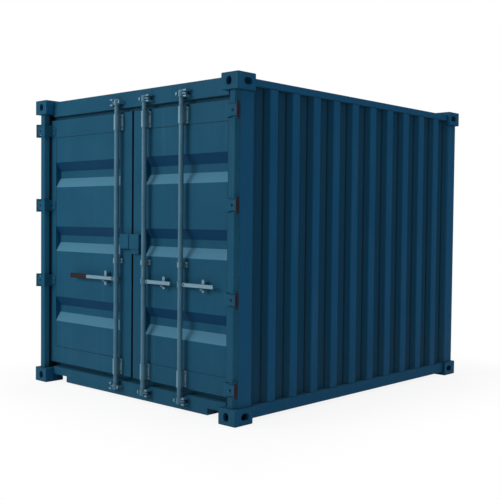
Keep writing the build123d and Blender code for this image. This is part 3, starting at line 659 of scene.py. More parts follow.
def ring_faces(rings: int, around: int, closed: bool = False) -> Faces:
    """Quads between rings of points that are stored one after another, with a cap at either end.

    Args:
        rings: Number of rings.
        around: Points in a ring.
        closed: Whether the last ring joins the first, which leaves no ends to cap.

    Returns:
        The faces.
    """
    r = np.arange(rings if closed else rings - 1)[:, None]
    c = np.arange(around)
    r2, c2 = (r + 1) % rings, (c + 1) % around
    quads = np.stack((r * around + c, r * around + c2, r2 * around + c2, r2 * around + c), -1)
    caps = [] if closed else [list(range(around))[::-1], list(range((rings - 1) * around, rings * around))]
    return quads.reshape(-1, 4).tolist() + caps


def swept(path: np.ndarray, section: np.ndarray, up: Point, closed: bool = False) -> Shape:
    """A closed section carried along a path that lies in a plane.

    Every point is path + u * (tangent x up) + v * up, where (u, v) runs round the section. The section may
    have one outline for all rings, or an outline of its own for each ring.

    Args:
        path: The points of the path, one row each.
        section: Outline as (u, v) pairs, of shape (m, 2) or (rings, m, 2).
        up: Unit vector square to the plane of the path.
        closed: Whether the path is a loop.

    Returns:
        The swept shape, with its ends closed where the path is open.
    """
    if closed:
        tangent = np.roll(path, -1, 0) - np.roll(path, 1, 0)
    else:
        tangent = np.gradient(path, axis=0)
    tangent /= np.linalg.norm(tangent, axis=1, keepdims=True)
    up = np.asarray(up, float)
    across = np.cross(tangent, up)
    outline = np.broadcast_to(section, (len(path), *section.shape[-2:]))
    points = path[:, None] + outline[..., :1] * across[:, None] + outline[..., 1:] * up
    return Shape(points.reshape(-1, 3), ring_faces(*points.shape[:2], closed)).outward()


def turned(profile: Sequence[Point], sides: int, centres: Sequence[Point], axis: Point) -> Shape:
    """A profile turned about an axis, repeated at several places.

    With unit vectors a and b square to the axis n, a point is centre + r cos t a + r sin t b + h n, where
    (r, h) runs along the profile.

    Args:
        profile: Radius and height pairs, from the foot up, with no point on the axis.
        sides: Number of sides.
        centres: Middle of the foot of each copy.
        axis: Unit vector along which the height is measured.

    Returns:
        The turned shapes, closed at the foot and at the top.
    """
    n = np.asarray(axis, float)
    a = np.cross(n, (0.0, 0.0, 1.0) if abs(n[2]) < 0.9 else (1.0, 0.0, 0.0))
    a /= np.linalg.norm(a)
    b = np.cross(n, a)
    ring = circle(1.0, sides) @ np.stack((a, b))
    r, h = np.array(profile, float).T
    one = (r[:, None, None] * ring + h[:, None, None] * n).reshape(-1, 3)
    faces = ring_faces(len(r), sides)
    return all_joined([Shape(one + centre, faces) for centre in np.array(centres)]).outward()


def circle(radius: float, sides: int) -> np.ndarray:
    """A circle as (u, v) pairs."""
    t = np.arange(sides) * 2 * math.pi / sides
    return radius * np.stack((np.cos(t), np.sin(t)), -1)


def rounded_loop(low: Point, high: Point, radius: float, y: float) -> np.ndarray:
    """A rectangle with round corners, standing in an XZ plane.

    Each corner is a quarter circle about the point that lies a radius in from both sides.

    Args:
        low: Lowest x and z.
        high: Highest x and z.
        radius: Radius of the corners.
        y: Where the plane stands.

    Returns:
        The loop's points, anticlockwise seen from minus Y.
    """
    steps = 7
    t = (np.arange(4)[:, None] * math.pi / 2 + np.linspace(0, math.pi / 2, steps)).ravel()
    left, right, foot, top = low[0] + radius, high[0] - radius, low[1] + radius, high[1] - radius
    x = np.repeat((right, left, left, right), steps) + radius * np.cos(t)
    z = np.repeat((top, top, foot, foot), steps) + radius * np.sin(t)
    return np.stack((x, np.full_like(t, y), z), -1)


@dataclass(frozen=True)
class Folds:
    """The outer line of a folded sheet: flats joined by straight slopes to level troughs."""

    centres: tuple[float, ...]
    floor: float
    slope: float
    fold: float

    def depth(self, along: np.ndarray) -> np.ndarray:
        """Depth of the sheet under its flats.

        It is fold * (floor / 2 + slope - distance to the nearest trough's middle) / slope, kept between
        zero and the whole fold.

        Args:
            along: Places along the sheet.

        Returns:
            The depth at each place.
        """
        away = np.abs(along[:, None] - np.array(self.centres)).min(1)
        return self.fold * np.clip((self.floor / 2 + self.slope - away) / self.slope, 0, 1)


@dataclass(frozen=True)
class Bead:
    """A hand-laid weld bead: a half-buried rope with a ripple for each dab of the torch."""

    radius: float = 0.0028
    pitch: float = 0.007
    ripple: float = 0.16
    sides: int = 6

    def along(self, corners: np.ndarray, up: Point) -> Shape:
        """Lays a bead along a path of straight runs.

        Rings stand half a pitch apart, and their radius is the bead's own times
        1 + ripple * cos(2 pi s / pitch), where s is the distance along the path.

        Args:
            corners: The path's points.
            up: Unit vector square to its plane.

        Returns:
            The bead.
        """
        runs = np.linalg.norm(np.diff(corners, axis=0), axis=1)
        at = np.concatenate(([0.0], np.cumsum(runs)))
        s = np.linspace(0, at[-1], max(4, int(at[-1] / self.pitch * 2) + 1))
        path = np.stack([np.interp(s, at, corners[:, k]) for k in range(3)], -1)
        swell = 1 + self.ripple * np.cos(2 * math.pi * s / self.pitch)
        section = circle(self.radius, self.sides)[None] * swell[:, None, None]
        return swept(path, section, up)

    def straight(self, start: Point, stop: Point) -> Shape:
        """Lays a bead from one point to another.

        Args:
            start: First point.
            stop: Last point.

        Returns:
            The bead.
        """
        ends = np.array((start, stop), float)
        run = ends[1] - ends[0]
        helper = (0.0, 0.0, 1.0) if abs(run[2]) < 0.9 * np.linalg.norm(run) else (1.0, 0.0, 0.0)
        up = np.cross(run, helper)
        return self.along(ends, up / np.linalg.norm(up))


SIDE_BEAD = Bead(0.0024)
END_BEAD = Bead(0.0026)


@dataclass(frozen=True)
class WallForm:
    """Sizes of a wall folded in evenly spaced troughs, its bead, and the places at which the bead bends."""

    ribs: int
    flat: float
    slope: float
    fold: float
    margin: float
    bead: Bead
    places: int

    def folds(self, start: float, stop: float) -> Folds:
        """Troughs spaced evenly between two ends.

        Args:
            start: Where the sheet starts.
            stop: Where it ends.

        Returns:
            The folds.
        """
        room = stop - start - 2 * self.margin - (self.ribs - 1) * self.flat
        floor = room / self.ribs - 2 * self.slope
        pitch = floor + 2 * self.slope + self.flat
        first = start + self.margin + self.slope + floor / 2
        return Folds(tuple(first + i * pitch for i in range(self.ribs)), floor, self.slope, self.fold)


SIDE_FORM = WallForm(ribs=11, flat=0.075, slope=0.052, fold=0.036, margin=0.003, bead=SIDE_BEAD, places=700)
END_FORM = WallForm(ribs=9, flat=0.072, slope=0.045, fold=0.040, margin=0.072, bead=END_BEAD, places=620)


@dataclass
class Palette:
    """Every finish of the container, built once."""

    body: Material
    jamb: Material
    band: Material
    panel: Material
    side: Material
    end: Material
    hinge: Material
    casting: Material
    edge: Material
    inside: Material
    weld: Material
    under: Material
    steel: Material
    steel_edge: Material
    plate: Material
    bolt: Material
    rubber: Material
    grip: Material
    timber: Material

    @classmethod
    def mixed(cls) -> Palette:
        """Mixes the finishes.

        Returns:
            The palette.
        """
        # The side colour is the body paint retuned for faces that look along X, which get less light: painted
        # shading of the side walls, and of the flanks of the body and castings. The wall troughs take
        # side_shade as painted shade.
        side, side_deep, side_shade = linear(12, 79, 118), linear(9, 72, 109), linear(7, 58, 84)
        steel = linear(72, 116, 137), linear(56, 100, 122), linear(116, 150, 167)
        primer = linear(120, 128, 130), linear(98, 106, 109), linear(142, 149, 150)
        jamb = Hollow(Y, -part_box("door_post_right")[0].y, 0.042, 0.052)
        band = Hollow(Y, -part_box("door_header")[0].y, 0.006, 0.024)
        knuckle = Hollow(X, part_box("hinge_lugs_right")[1].x, 0.016, 0.011)
        hollow = Hollow(X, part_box("side_wall_right")[1].x)
        # Near-black painted shade for the feet of the wall's slopes.
        crease = linear(9, 26, 35)
        wall = Paint("side_wall_paint", side, side_deep, shade=side_shade, hollow=hollow, crease=crease)
        finishes = dict(
            body=Paint("body_paint", side_shading=side),
            # The jamb: faces deep in the door gap take a near-black painted shade, and faces that look across
            # take a lighter flank that lifts them out of shade.
            jamb=Paint("jamb_paint", shade=linear(20, 26, 29), side_shading=linear(34, 100, 130), hollow=jamb),
            # Faces set back behind the header's and sill's fronts are painted lighter than the body, to lift
            # the shadow in which they lie.
            band=Paint("rail_paint", shade=linear(34, 92, 120), hollow=band),
            # The door panel's upward slopes take a painted highlight, and its faces turned away a painted
            # shade.
            panel=Paint("door_panel_paint", highlight_share=0.94, shaded=0.96),
            side=wall,
            end=replace(wall, name="rear_wall_paint", hollow=Hollow(Y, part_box("rear_wall")[1].y)),
            hinge=Paint("hinge_paint", shade=linear(46, 25, 29), hollow=knuckle),
            casting=Paint("casting_paint", side_shading=side, grain=Noise(90.0, 2.0, 0.5), grain_depth=0.0022),
            edge=WornEdge("worn_paint_edge", linear(12, 38, 52), linear(30, 74, 96)),
            inside=Paint("inside_primer", *primer),
            weld=Paint("painted_weld", linear(15, 40, 55), grain=Noise(400.0, 2.0, 0.5)),
            under=Paint("underside_paint", linear(24, 40, 50), linear(16, 26, 33), linear(60, 70, 74)),
            steel=CoatedSteel("coated_rod_steel", *steel),
            steel_edge=WornEdge("rubbed_steel_edge", linear(20, 44, 58), steel[1]),
            # The plates take a painted highlight on faces that look to minus Y.
            plate=CoatedSteel("plate_steel", *steel, front_highlight=0.9),
            bolt=CoatedSteel("bolt_zinc", linear(70, 104, 122), linear(46, 70, 84), steel[2], 0.4),
            rubber=Moulded("seal_rubber_black"),
            grip=GripPlastic("grip_moulding"),
            timber=Plywood("floor_timber"),
        )
        return cls(**{key: finish.material() for key, finish in finishes.items()})


def linked(name: str, data: bpy.types.ID) -> Piece:
    """Makes an object and links it to the scene.

    Args:
        name: The object's name.
        data: Its mesh, lamp or camera.

    Returns:
        The object.
    """
    made = bpy.data.objects.new(name, data)
    bpy.context.scene.collection.objects.link(made)
    return made


def put_in(
    name: str,
    shape: Shape,
    material: Material,
    body: Body = Body.CONTAINER,
    smooth: float = 35.0,
) -> Piece:
    """Makes a piece of a shape and lets it ride on a body.

    Args:
        name: The piece's name.
        shape: Its points and faces.
        material: Its finish.
        body: The body that carries it.
        smooth: Angle in degrees past which an edge stays sharp.

    Returns:
        The piece.
    """
    mesh = bpy.data.meshes.new(name)
    mesh.from_pydata(shape.points.tolist(), [], shape.faces)
    mesh.shade_smooth()
    mesh.set_sharp_from_angle(angle=math.radians(smooth))
    mesh.materials.append(material)
    return settled(name, mesh, body)


def merged(node: str) -> bmesh.types.BMesh:
    """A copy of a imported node's mesh, with the points that coincide made one.

    Args:
        node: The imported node.

    Returns:
        The copy, to be freed after use.
    """
    work = bmesh.new()
    work.from_mesh(bpy.data.objects[node].data)
    bmesh.ops.remove_doubles(work, verts=work.verts, dist=ONE_POINT)
    return work


def settled(name: str, mesh: bpy.types.Mesh, body: Body) -> Piece:
    """Makes a piece of a mesh, on its body.

    Args:
        name: The piece's name.
        mesh: Its mesh.
        body: The body that carries it.

    Returns:
        The piece.
    """
    piece = linked(name, mesh)
    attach(piece, body.value)
    log.info("%s: %d faces on %s", name, len(mesh.polygons), body.value)
    return piece


@dataclass(frozen=True)
class Skin:
    """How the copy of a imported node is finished: its edges, and which of its faces are inside.

    A clamped skin rounds its edges only as far as its smallest face allows. Faces within flat_angle of each
    other become one, edges past bevel_angle are rounded, and a face is inside where its normal's part along
    inward is more than inward_least.
    """

    width: float = 0.0016
    segments: int = 2
    inward: Triple = (0.0, 0.0, 0.0)
    clamped: bool = False
    flat_angle: float = 0.7
    sharp_angle: float = 32.0
    bevel_angle: float = 40.0
    inward_least: float = 0.2

    def over(
        self,
        node: str,
        outside: Material,
        edge: Material | None = None,
        body: Body = Body.CONTAINER,
        slot: Slot = Slot.PAINT,
        inside: Material | None = None,
    ) -> Piece:
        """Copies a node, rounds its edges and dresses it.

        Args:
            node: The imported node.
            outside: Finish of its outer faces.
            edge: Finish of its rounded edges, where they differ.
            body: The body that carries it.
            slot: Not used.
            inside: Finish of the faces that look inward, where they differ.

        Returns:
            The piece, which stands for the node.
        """
        work = merged(node)
        bmesh.ops.dissolve_limit(
            work, angle_limit=math.radians(self.flat_angle), verts=work.verts, edges=work.edges
        )
        mesh = bpy.data.meshes.new(f"{node}_skin")
        work.to_mesh(mesh)
        work.free()
        for material in (outside, edge or outside, inside or outside):
            mesh.materials.append(material)
        normals = np.array([polygon.normal for polygon in mesh.polygons])
        within = normals @ np.array(self.inward) > self.inward_least
        mesh.polygons.foreach_set("material_index", np.where(within, INSIDE, OUTSIDE).astype(np.int32))
        mesh.shade_smooth()
        mesh.set_sharp_from_angle(angle=math.radians(self.sharp_angle))
        piece = settled(f"{node}_skin", mesh, body)
        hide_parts(node)
        bevel = piece.modifiers.new("rounded_edges", "BEVEL")
        bevel.width = self.width
        bevel.segments = self.segments
        bevel.limit_method = "ANGLE"
        bevel.angle_limit = math.radians(self.bevel_angle)
        bevel.use_clamp_overlap = self.clamped
        bevel.harden_normals = True
        bevel.material = EDGE
        return piece


def solids_of(node: str) -> list[tuple[Vector, Vector]]:
    """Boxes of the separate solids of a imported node, from the lowest up.

    Each solid grows from one of the points that are left, by the points that edges join to it.

    Args:
        node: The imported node.

    Returns:
        The lowest and highest corner of each solid.
    """
    work = merged(node)
    left, boxes = set(work.verts), []
    while left:
        solid = [left.pop()]
        for point in solid:
            near = left.intersection(edge.other_vert(point) for edge in point.link_edges)
            left -= near
            solid += near
        own = np.array([point.co for point in solid])
        boxes.append((Vector(own.min(0).tolist()), Vector(own.max(0).tolist())))
    work.free()
    return sorted(boxes, key=lambda box: (box[0].z, box[0].x, box[0].y))


def casting_reach() -> Pair:
    """How far along X and Y the space between the corner castings reaches from the middle."""
    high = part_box("top_corner_castings")[1]
    return high.x - CASTING_X, high.y - CASTING_Y


@dataclass
class Castings:
    """The eight corner castings."""

    palette: Palette
    skin: Skin = Skin(0.0035, 3, clamped=True)

    def build(self) -> None:
        """Dresses both rows of castings."""
        for node in ("top_corner_castings", "bottom_corner_castings"):
            self.skin.over(node, self.palette.casting, self.palette.edge)


@dataclass
class Framework:
    """Posts, rails, header, sill and floor bearers, with the welds that join them to the castings.

    An ear is given by its radius and thickness, a spacer by its radius, foot and height, and a post by how
    deep it is and how far its bevel reaches. The two welds are the heights of the beads on sill and header.
    """

    palette: Palette
    skin: Skin = Skin(0.0027)
    bead: Bead = Bead(0.0038, 0.009)
    ear: Pair = (0.0125, 0.012)
    spacer: Triple = (0.0120, 0.0300, 0.0056)
    spacer_play: float = 0.0002
    door_post: Pair = (0.166, 0.025)
    rear_post: Pair = (0.132, 0.008)
    sill_weld: float = 0.117
    header_weld: float = 0.104

    def build(self) -> None:
        """Dresses the frame and lays its welds."""
        p = self.palette
        for node in ("rear_top_rail", "rear_bottom_rail"):
            self.skin.over(node, p.body, p.edge)
        for node in ("door_header", "door_sill"):
            self.skin.over(node, p.band, p.edge)
        for side in Side:
            for piece in ("rear_post", "top_side_rail", "bottom_side_rail"):
                self.skin.over(f"{piece}_{side.word}", p.body, p.edge)
            jamb = replace(self.skin, inward=(-side.value, 0.0, 0.0))
            jamb.over(f"door_post_{side.word}", p.body, p.edge, inside=p.jamb)
            Skin(0.0014).over(f"hinge_lugs_{side.word}", p.hinge, p.edge)
            put_in(f"hinge_spacers_{side.word}", self.spacers(side), p.hinge)
        for node in ("cam_keepers_top", "cam_keepers_bottom"):
            Skin().over(node, p.plate, p.steel_edge, slot=Slot.STEEL)
        Skin().over("floor_cross_members", p.under)
        put_in("frame_welds", all_joined(self.post_welds() + self.rail_welds()), p.weld)

    def spacers(self, side: Side) -> Shape:
        """Spacers on the hinge pins, between each knuckle and the ears above and below it.

        Args:
            side: Side of the container.

        Returns:
            The spacers, each a half circle about the pin with a foot that reaches towards the post.
        """
        radius, foot, height = self.spacer
        ear_radius, ear_thick = self.ear
        t = np.linspace(0.0, math.pi, 13)
        arc = np.stack((radius * np.cos(t), radius * np.sin(t)), -1)
        outline = np.vstack((arc, [(-radius, -foot), (radius, -foot)]))
        away = (side.value * math.sqrt(0.5), -math.sqrt(0.5), 0.0)
        shapes = []
        for low, high in solids_of(f"hinge_lugs_{side.word}"):
            x = (high.x if side.value > 0 else low.x) - side.value * ear_radius
            inset = ear_thick + self.spacer_play
            for start in (low.z + inset, high.z - inset - height):
                path = np.array([(x, low.y + ear_radius, z) for z in (start, start + height)])
                shapes.append(swept(path, outline, away))
        return all_joined(shapes)

    def post_welds(self) -> list[Shape]:
        """Rings round the ends of the four posts.

        Returns:
            One bead for each visible side of each post end.
        """
        low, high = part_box("rear_post_right")
        wide = high.x - low.x
        levels = (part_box("bottom_corner_castings")[1].z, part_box("top_corner_castings")[0].z)
        beads = []
        for node in ("door_post_right", "door_post_left", "rear_post_right", "rear_post_left"):
            low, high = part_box(node)
            outer, side = (high.x, 1) if low.x > 0 else (low.x, -1)
            face, end = (low.y, -1) if low.y < 0 else (high.y, 1)
            depth, bevel = self.door_post if end < 0 else self.rear_post
            inner, rounded = outer - side * wide, outer - side * bevel
            front, back = face - end * bevel, face - end * depth
            for z in levels:
                beads.append(self.bead.straight((inner, face, z), (rounded, face, z)))
                beads.append(self.bead.straight((outer, front, z), (outer, back, z)))
        return beads

    def rail_welds(self) -> list[Shape]:
        """Upright beads where rails, header and sill meet the castings.

        Returns:
            The beads.
        """
        beads = []
        inner_x, inner_y = casting_reach()
        header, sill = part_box("door_header"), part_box("door_sill")
        runs = (
            (header[0].y, header[1].z - self.header_weld, header[1].z),
            (sill[0].y, sill[0].z, sill[0].z + self.sill_weld),
        )
        for y, foot, top in runs:
            for side in Side:
                x = side.value * inner_x
                beads.append(self.bead.straight((x, y, foot), (x, y, top)))
        for side in Side:
            for rail in ("top_side_rail", "bottom_side_rail"):
                low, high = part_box(f"{rail}_{side.word}")
                x = high.x if side is Side.RIGHT else low.x
                for y in (-inner_y, inner_y):
                    beads.append(self.bead.straight((x, y, low.z), (x, y, high.z)))
        return beads


@dataclass
class FoldedWall:
    """A folded wall and the beads that seal it into the frame.

    It faces along one axis, X for a side wall and Y for the blind end, to the side that its sign gives.
    """

    palette: Palette
    node: str
    paint: Material
    axis: int
    sign: int
    form: WallForm

    def build(self) -> None:
        """Dresses the wall and lays its beads."""
        inward = tuple(-float(self.sign) if k == self.axis else 0.0 for k in range(3))
        Skin(0.0006, 1, inward=inward).over(self.node, self.paint, inside=self.palette.inside)
        put_in(f"{self.node}_welds", self.beads(), self.palette.weld)

    def beads(self) -> Shape:
        """Beads along the top and bottom of the wall and up both its ends.

        Returns:
            The beads.
        """
        low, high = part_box(self.node)
        other = 1 - self.axis
        outer = high[self.axis] if self.sign > 0 else low[self.axis]
        along = np.linspace(low[other], high[other], self.form.places)
        path = np.empty((len(along), 3))
        path[:, other] = along
        path[:, self.axis] = outer - self.sign * self.form.folds(low[other], high[other]).depth(along)
        beads = []
        for z in (low.z, high.z):
            path[:, 2] = z
            beads.append(self.form.bead.along(path.copy(), (0.0, 0.0, 1.0)))
        for end in (low[other], high[other]):
            foot = [end, end, low.z]
            foot[self.axis] = outer
            beads.append(self.form.bead.straight(foot, (foot[0], foot[1], high.z)))
        return all_joined(beads)


@dataclass
class Roof:
    """The pressed roof sheet."""

    palette: Palette
    bead: Bead = Bead()

    def build(self) -> None:
        """Dresses the roof and lays a bead all round it."""
        skin = Skin(0.0003, 1, inward=(0.0, 0.0, -1.0))
        skin.over("roof_panel", self.palette.body, inside=self.palette.inside)
        low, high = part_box("roof_panel")
        across, along = casting_reach()
        beads = [self.bead.straight((x, -along, high.z), (x, along, high.z)) for x in (low.x, high.x)]
        beads += [self.bead.straight((-across, y, high.z), (across, y, high.z)) for y in (low.y, high.y)]
        put_in("roof_welds", all_joined(beads), self.palette.weld)


@dataclass
class Floor:
    """Timber floor with rows of countersunk screws over the cross members, set in from each board's edges."""

    palette: Palette
    screw_radius: float = 0.0055
    screw_stand: float = 0.0004
    screw_sunk: float = 0.001
    inset: float = 0.035

    def build(self) -> None:
        """Dresses the boards and drives the screws."""
        p = self.palette
        Skin(0.0012, 1).over("floor_boards", p.timber, slot=Slot.TIMBER)
        rows = [(low.y + high.y) / 2 for low, high in solids_of("floor_cross_members")]
        centres = [
            (x, y, high.z - self.screw_sunk)
            for low, high in solids_of("floor_boards")
            for y in rows
            for x in (low.x + self.inset, high.x - self.inset)
        ]
        top = self.screw_stand + self.screw_sunk
        radius = self.screw_radius
        profile = ((radius, 0.0), (radius, top * 0.8), (radius * 0.85, top))
        screws = turned(profile, 10, centres, (0.0, 0.0, 1.0))
        put_in("floor_screws", screws, p.bolt)


@dataclass
class Door:
    """One leaf: its frame, pressed panel, seal, hinge straps and rod guides.

    Bolt heads and plugs are given by radius and height. A plug's place is in from the strap's end and back
    from its face, a flange's is its width and how far it lies forward, and presses stand at shares of the
    panel's height.
    """

    palette: Palette
    side: Side
    body: Body
    plain_catch: str
    stile: float = 0.067
    pad: float = 0.006
    pad_bolt: float = 0.018
    flange: Pair = (0.022, 0.016)
    flange_bolt: float = 0.32
    short_flange: float = 0.06
    head: Pair = (0.0065, 0.0035)
    plug: Pair = (0.0098, 0.008)
    plug_place: Pair = (0.0575, 0.0165)
    press_places: tuple[float, ...] = (0.1828, 0.518, 0.8222)
    press_slope: float = 0.077
    press_floor: float = 0.060
    press_fold: float = 0.040
    weld_places: int = 420
    lip_radius: float = 0.0030
    lip_corner: float = 0.010
    lip_depths: tuple[float, ...] = (0.012, 0.030)
    bead: Bead = SIDE_BEAD

    def build(self) -> None:
        """Builds and dresses the leaf."""
        p, word = self.palette, self.side.word
        steel = (p.plate, p.steel_edge, self.body, Slot.STEEL)
        Skin(0.0018).over(f"{word}_door_frame", p.body, p.edge, self.body)
        skin = Skin(0.0006, 1, inward=(0.0, 1.0, 0.0))
        skin.over(f"{word}_door_panel", p.panel, body=self.body, inside=p.inside)
        Skin(0.0006).over(f"{word}_door_gasket", p.rubber, None, self.body, Slot.RUBBER)
        Skin(0.0014).over(f"{word}_hinge_blades", p.hinge, p.edge, self.body)
        Skin(0.0022, clamped=True).over(f"{word}_rod_guides", *steel)
        Skin(0.0014).over(self.plain_catch, *steel)
        Skin(0.0018).over(f"{word}_lock_box", p.body, p.edge, self.body)
        put_in(f"{word}_seal_lips", self.lips(), p.rubber, self.body)
        put_in(f"{word}_panel_welds", self.panel_welds(), p.weld, self.body)
        put_in(f"{word}_door_bolts", self.bolts(), p.bolt, self.body, smooth=25)
        put_in(f"{word}_strap_plugs", self.plugs(), p.rubber, self.body)

    def lips(self) -> Shape:
        """Sealing lips that run right round the leaf.

        Returns:
            The lips, half sunk in the seal's outer face.
        """
        low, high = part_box(f"{self.side.word}_door_gasket")
        corners = (low.x, low.z), (high.x, high.z)
        section = circle(self.lip_radius, 8)
        loops = [rounded_loop(*corners, self.lip_corner, low.y + depth) for depth in self.lip_depths]
        return all_joined([swept(loop, section, (0.0, 1.0, 0.0), closed=True) for loop in loops])

    def panel_welds(self) -> Shape:
        """Beads round the pressed panel, which dip into its troughs at both ends.

        Returns:
            The beads.
        """
        low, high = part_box(f"{self.side.word}_door_panel")
        tall = high.z - low.z
        levels = tuple(low.z + place * tall for place in self.press_places)
        folds = Folds(levels, self.press_floor, self.press_slope, self.press_fold)
        z = np.linspace(low.z, high.z, self.weld_places)
        y = low.y + folds.depth(z)
        sides = [np.stack((np.full_like(z, x), y, z), -1) for x in (low.x, high.x)]
        beads = [self.bead.along(path, (1.0, 0.0, 0.0)) for path in sides]
        beads += [self.bead.straight((low.x, low.y, z), (high.x, low.y, z)) for z in (low.z, high.z)]
        return all_joined(beads)

    def bolts(self) -> Shape:
        """Bolt heads on the hinge pads and on the wings of the rod guides.

        Returns:
            The heads.
        """
        word, sign = self.side.word, self.side.value
        centres = []
        for low, high in solids_of(f"{word}_hinge_blades"):
            inner = low.x if sign > 0 else high.x
            middle = (low.z + high.z) / 2
            x = inner + sign * self.stile / 2
            centres += [(x, high.y - self.pad, middle + dz) for dz in (-self.pad_bolt, self.pad_bolt)]
        for low, high in solids_of(f"{word}_rod_guides"):
            tall = high.z - low.z
            x = high.x - self.flange[0] / 2
            apart = self.flange_bolt * tall
            offsets = (0.0,) if tall < self.short_flange else (-apart, apart)
            centres += [(x, high.y - self.flange[1], (low.z + high.z) / 2 + dz) for dz in offsets]
        r, h = self.head
        profile = ((r * 1.25, 0.0), (r * 1.25, h * 0.25), (r, h * 0.3), (r, h * 0.85), (r * 0.82, h))
        return turned(profile, 6, centres, (0.0, -1.0, 0.0))

    def plugs(self) -> Shape:
        """Round plugs that close the holes in the hinge straps.

        Returns:
            The plugs, each a little below the face of its strap.
        """
        radius, height = self.plug
        along, deep = self.plug_place
        centres = []
        for low, high in solids_of(f"{self.side.word}_hinge_blades"):
            outer = high.x if self.side.value > 0 else low.x
            centres.append((outer - self.side.value * along, low.y + deep, (low.z + high.z) / 2))
        profile = ((radius, 0.0), (radius, height * 0.9), (radius * 0.9, height))
        return turned(profile, 24, centres, (0.0, -1.0, 0.0))


@dataclass
class LockGear:
    """The lock rods, their cams and handles, and the moulded grip of the long handle."""

    palette: Palette
    ribs: int = 9
    rib_depth: float = 0.10
    rib_start: float = 0.08
    rib_fade: float = 0.03
    end_round: float = 0.05
    stations: int = 140
    around: int = 40

    def build(self) -> None:
        """Dresses the gear and moulds the grip."""
        p = self.palette
        for word in ("left", "middle", "right"):
            rod = (p.steel, p.steel_edge, Body(f"{word}_rod"), Slot.STEEL)
            Skin(0.0010).over(f"{word}_lock_rod", *rod)
            Skin(0.0014).over(f"{word}_cam_toes", *rod)
        for word in ("left", "middle", "right"):
            handle = (p.plate, p.steel_edge, Body(f"{word}_handle"), Slot.STEEL)
            Skin(0.0020).over(f"{word}_rod_handle", *handle)
        grip = put_in("left_grip_moulding", self.grip(), p.grip, Body.LEFT_HANDLE)
        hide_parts("left_handle_grip")

    def grip(self) -> Shape:
        """The grip: a soft-cornered bar with finger ribs, closed at both ends.

        Across the bar the outline is the fourth-power curve |u|^4 + |v|^4 = 1. Its size along the bar is
        1 - rib_depth * (1 - cos(2 pi ribs t)) / 2 in the ribbed middle, where t runs from 0 at one of its
        ends to 1 at the other, and falls to nothing at the ends of the bar by a quarter ellipse.

        Returns:
            The grip's shape.
        """
        low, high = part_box("left_handle_grip")
        middle, half = (low + high) / 2, (high - low) / 2
        t = (1 - np.cos(np.linspace(0, math.pi, self.stations)[1:-1])) / 2
        start = self.rib_start
        ribbed = np.clip(np.minimum(t - start, 1 - start - t) / self.rib_fade, 0, 1)
        wave = np.cos(2 * math.pi * self.ribs * (t - start) / (1 - 2 * start))
        edge = np.clip(np.minimum(t, 1 - t) / self.end_round, 0, 1)
        size = (1 - self.rib_depth * ribbed * (1 - wave) / 2) * np.sqrt(1 - (1 - edge) ** 2)
        outline = circle(1.0, self.around)
        outline = np.sign(outline) * np.abs(outline) ** 0.5 * (half.y, half.z)
        path = np.tile(middle, (len(t), 1))
        path[:, 0] = low.x + t * (high.x - low.x)
        return swept(path, size[:, None, None] * outline, (0.0, 0.0, 1.0))


@dataclass(frozen=True)
class Lamp:
    """A soft rectangular lamp."""

    name: str
    place: Point
    size: Pair
    power: float

    def hang(self, aim: Vector) -> None:
        """Hangs the lamp and points it.

        Args:
            aim: The point that it looks at.
        """
        data = bpy.data.lights.new(self.name, "AREA")
        data.shape = "RECTANGLE"
        data.size, data.size_y = self.size
        data.energy = self.power
        lamp = linked(self.name, data)
        lamp.rotation_euler = (Vector(self.place) - aim).to_track_quat("Z", "Y").to_euler()
        lamp.location = self.place


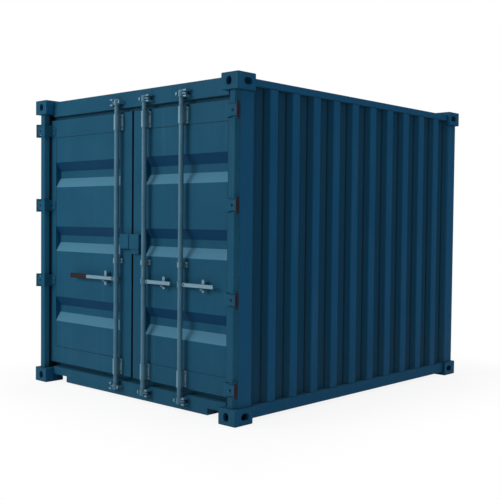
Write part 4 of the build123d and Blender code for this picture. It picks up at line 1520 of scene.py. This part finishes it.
@dataclass
class Studio:
    """Pale floor, soft lamps, white surroundings and the camera.

    The floor is white to the camera but for a share of 1 - lift under the container, which reaches half to
    each side along X and Y, and fades over a short way round it. Angles are in degrees.
    """

    camera_place: Triple = (5.200, -5.659, 1.431)
    yaw: float = -42.81
    pitch: float = -2.07
    roll: float = 0.58
    lens: float = 61.0
    sensor: float = 36.0
    far: float = 200.0
    lamps: tuple[Lamp, ...] = (
        Lamp("overhead", (0.0, -0.6, 8.0), (7.0, 7.0), 400.0),
        Lamp("front_left", (-4.0, -9.0, 4.6), (5.0, 4.0), 450.0),
        Lamp("side_fill", (9.0, 3.0, 4.5), (4.0, 4.0), 90.0),
        Lamp("back_fill", (-6.0, 8.0, 4.5), (5.0, 5.0), 200.0),
    )
    aim: Triple = (0.0, 0.0, 1.1)
    half: Pair = (1.22, 1.50)
    lift: float = 0.88
    fade: float = 1.2
    reach: float = 60.0
    grey: float = 0.82
    mirrored: float = 0.3
    glow: float = 0.30

    def build(self) -> None:
        """Sets up the whole studio."""
        bpy.context.scene.view_settings.view_transform = "Standard"
        self.camera()
        self.floor()
        self.surroundings()
        for lamp in self.lamps:
            lamp.hang(Vector(self.aim))

    def camera(self) -> None:
        """Stands the camera where the photograph was taken from.

        Yaw turns from plus Y towards minus X as it grows more negative, pitch tips the view down, and roll
        turns it about the line of sight.
        """
        yaw, pitch, roll = (math.radians(v) for v in (self.yaw, self.pitch, self.roll))
        data = bpy.data.cameras.new("camera")
        data.sensor_width = self.sensor
        data.lens = self.lens
        data.dof.use_dof = False
        data.clip_end = self.far
        camera = linked("camera", data)
        stand = Matrix.Translation(self.camera_place)
        for angle, axis in ((-yaw, "Z"), (math.pi / 2 + pitch, "X"), (roll, "Z")):
            stand @= Matrix.Rotation(angle, 4, axis)
        camera.matrix_world = stand
        bpy.context.scene.camera = camera

    def floor(self) -> None:
        """Lays a wide pale floor that is white to the camera except where the container shades it."""
        r = self.reach
        corners = [(-r, -r, 0.0), (r, -r, 0.0), (r, r, 0.0), (-r, r, 0.0)]
        mesh = bpy.data.meshes.new("floor")
        mesh.from_pydata(corners, [], [[0, 1, 2, 3]])
        g = Graph("studio_floor")
        x, y, _ = g.parts(g.place)
        away = (abs(x) - self.half[0]).larger(abs(y) - self.half[1])
        clear = self.lift + (1 - self.lift) * away.rise(0.0, self.fade)
        seen = g.node("ShaderNodeLightPath", output="Is Camera Ray")
        glossy = g.node("ShaderNodeLightPath", output="Is Glossy Ray")
        white = g.node("ShaderNodeEmission", inputs={"Color": WHITE, "Strength": 1.0})
        matt = g.node("ShaderNodeBsdfDiffuse", inputs={"Color": (self.grey, self.grey, self.grey, 1.0)})
        share = seen * clear + glossy * self.mirrored
        mix = g.node("ShaderNodeMixShader", inputs={0: share, 1: matt, 2: white})
        g.node("ShaderNodeOutputMaterial", inputs={"Surface": mix})
        mesh.materials.append(g.owner)
        floor = linked("studio_floor", mesh)

    def surroundings(self) -> None:
        """Fills the surroundings with white for the camera and soft grey for the light."""
        g = Graph("surroundings", "worlds")
        seen = g.node("ShaderNodeLightPath", output="Is Camera Ray")
        through = g.node("ShaderNodeLightPath", output="Is Transmission Ray")
        strength = self.glow + (1 - self.glow) * seen.larger(through)
        back = g.node("ShaderNodeBackground", inputs={"Color": WHITE, "Strength": strength})
        g.node("ShaderNodeOutputWorld", inputs={"Surface": back})
        bpy.context.scene.world = g.owner


def main() -> None:
    """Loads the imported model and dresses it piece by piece."""
    logging.basicConfig(level=logging.INFO, format="%(message)s")
    for leftover in list(bpy.data.objects):
        bpy.data.objects.remove(leftover)
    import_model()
    palette = Palette.mixed()
    Studio().build()
    Castings(palette).build()
    Framework(palette).build()
    for side in Side:
        FoldedWall(palette, f"side_wall_{side.word}", palette.side, X, side.value, SIDE_FORM).build()
    FoldedWall(palette, "rear_wall", palette.end, Y, 1, END_FORM).build()
    Roof(palette).build()
    Floor(palette).build()
    Door(palette, Side.RIGHT, Body.RIGHT_DOOR, "right_handle_retainers").build()
    Door(palette, Side.LEFT, Body.LEFT_DOOR, "left_handle_retainer").build()
    LockGear(palette).build()


if __name__ == "__main__":
    main()
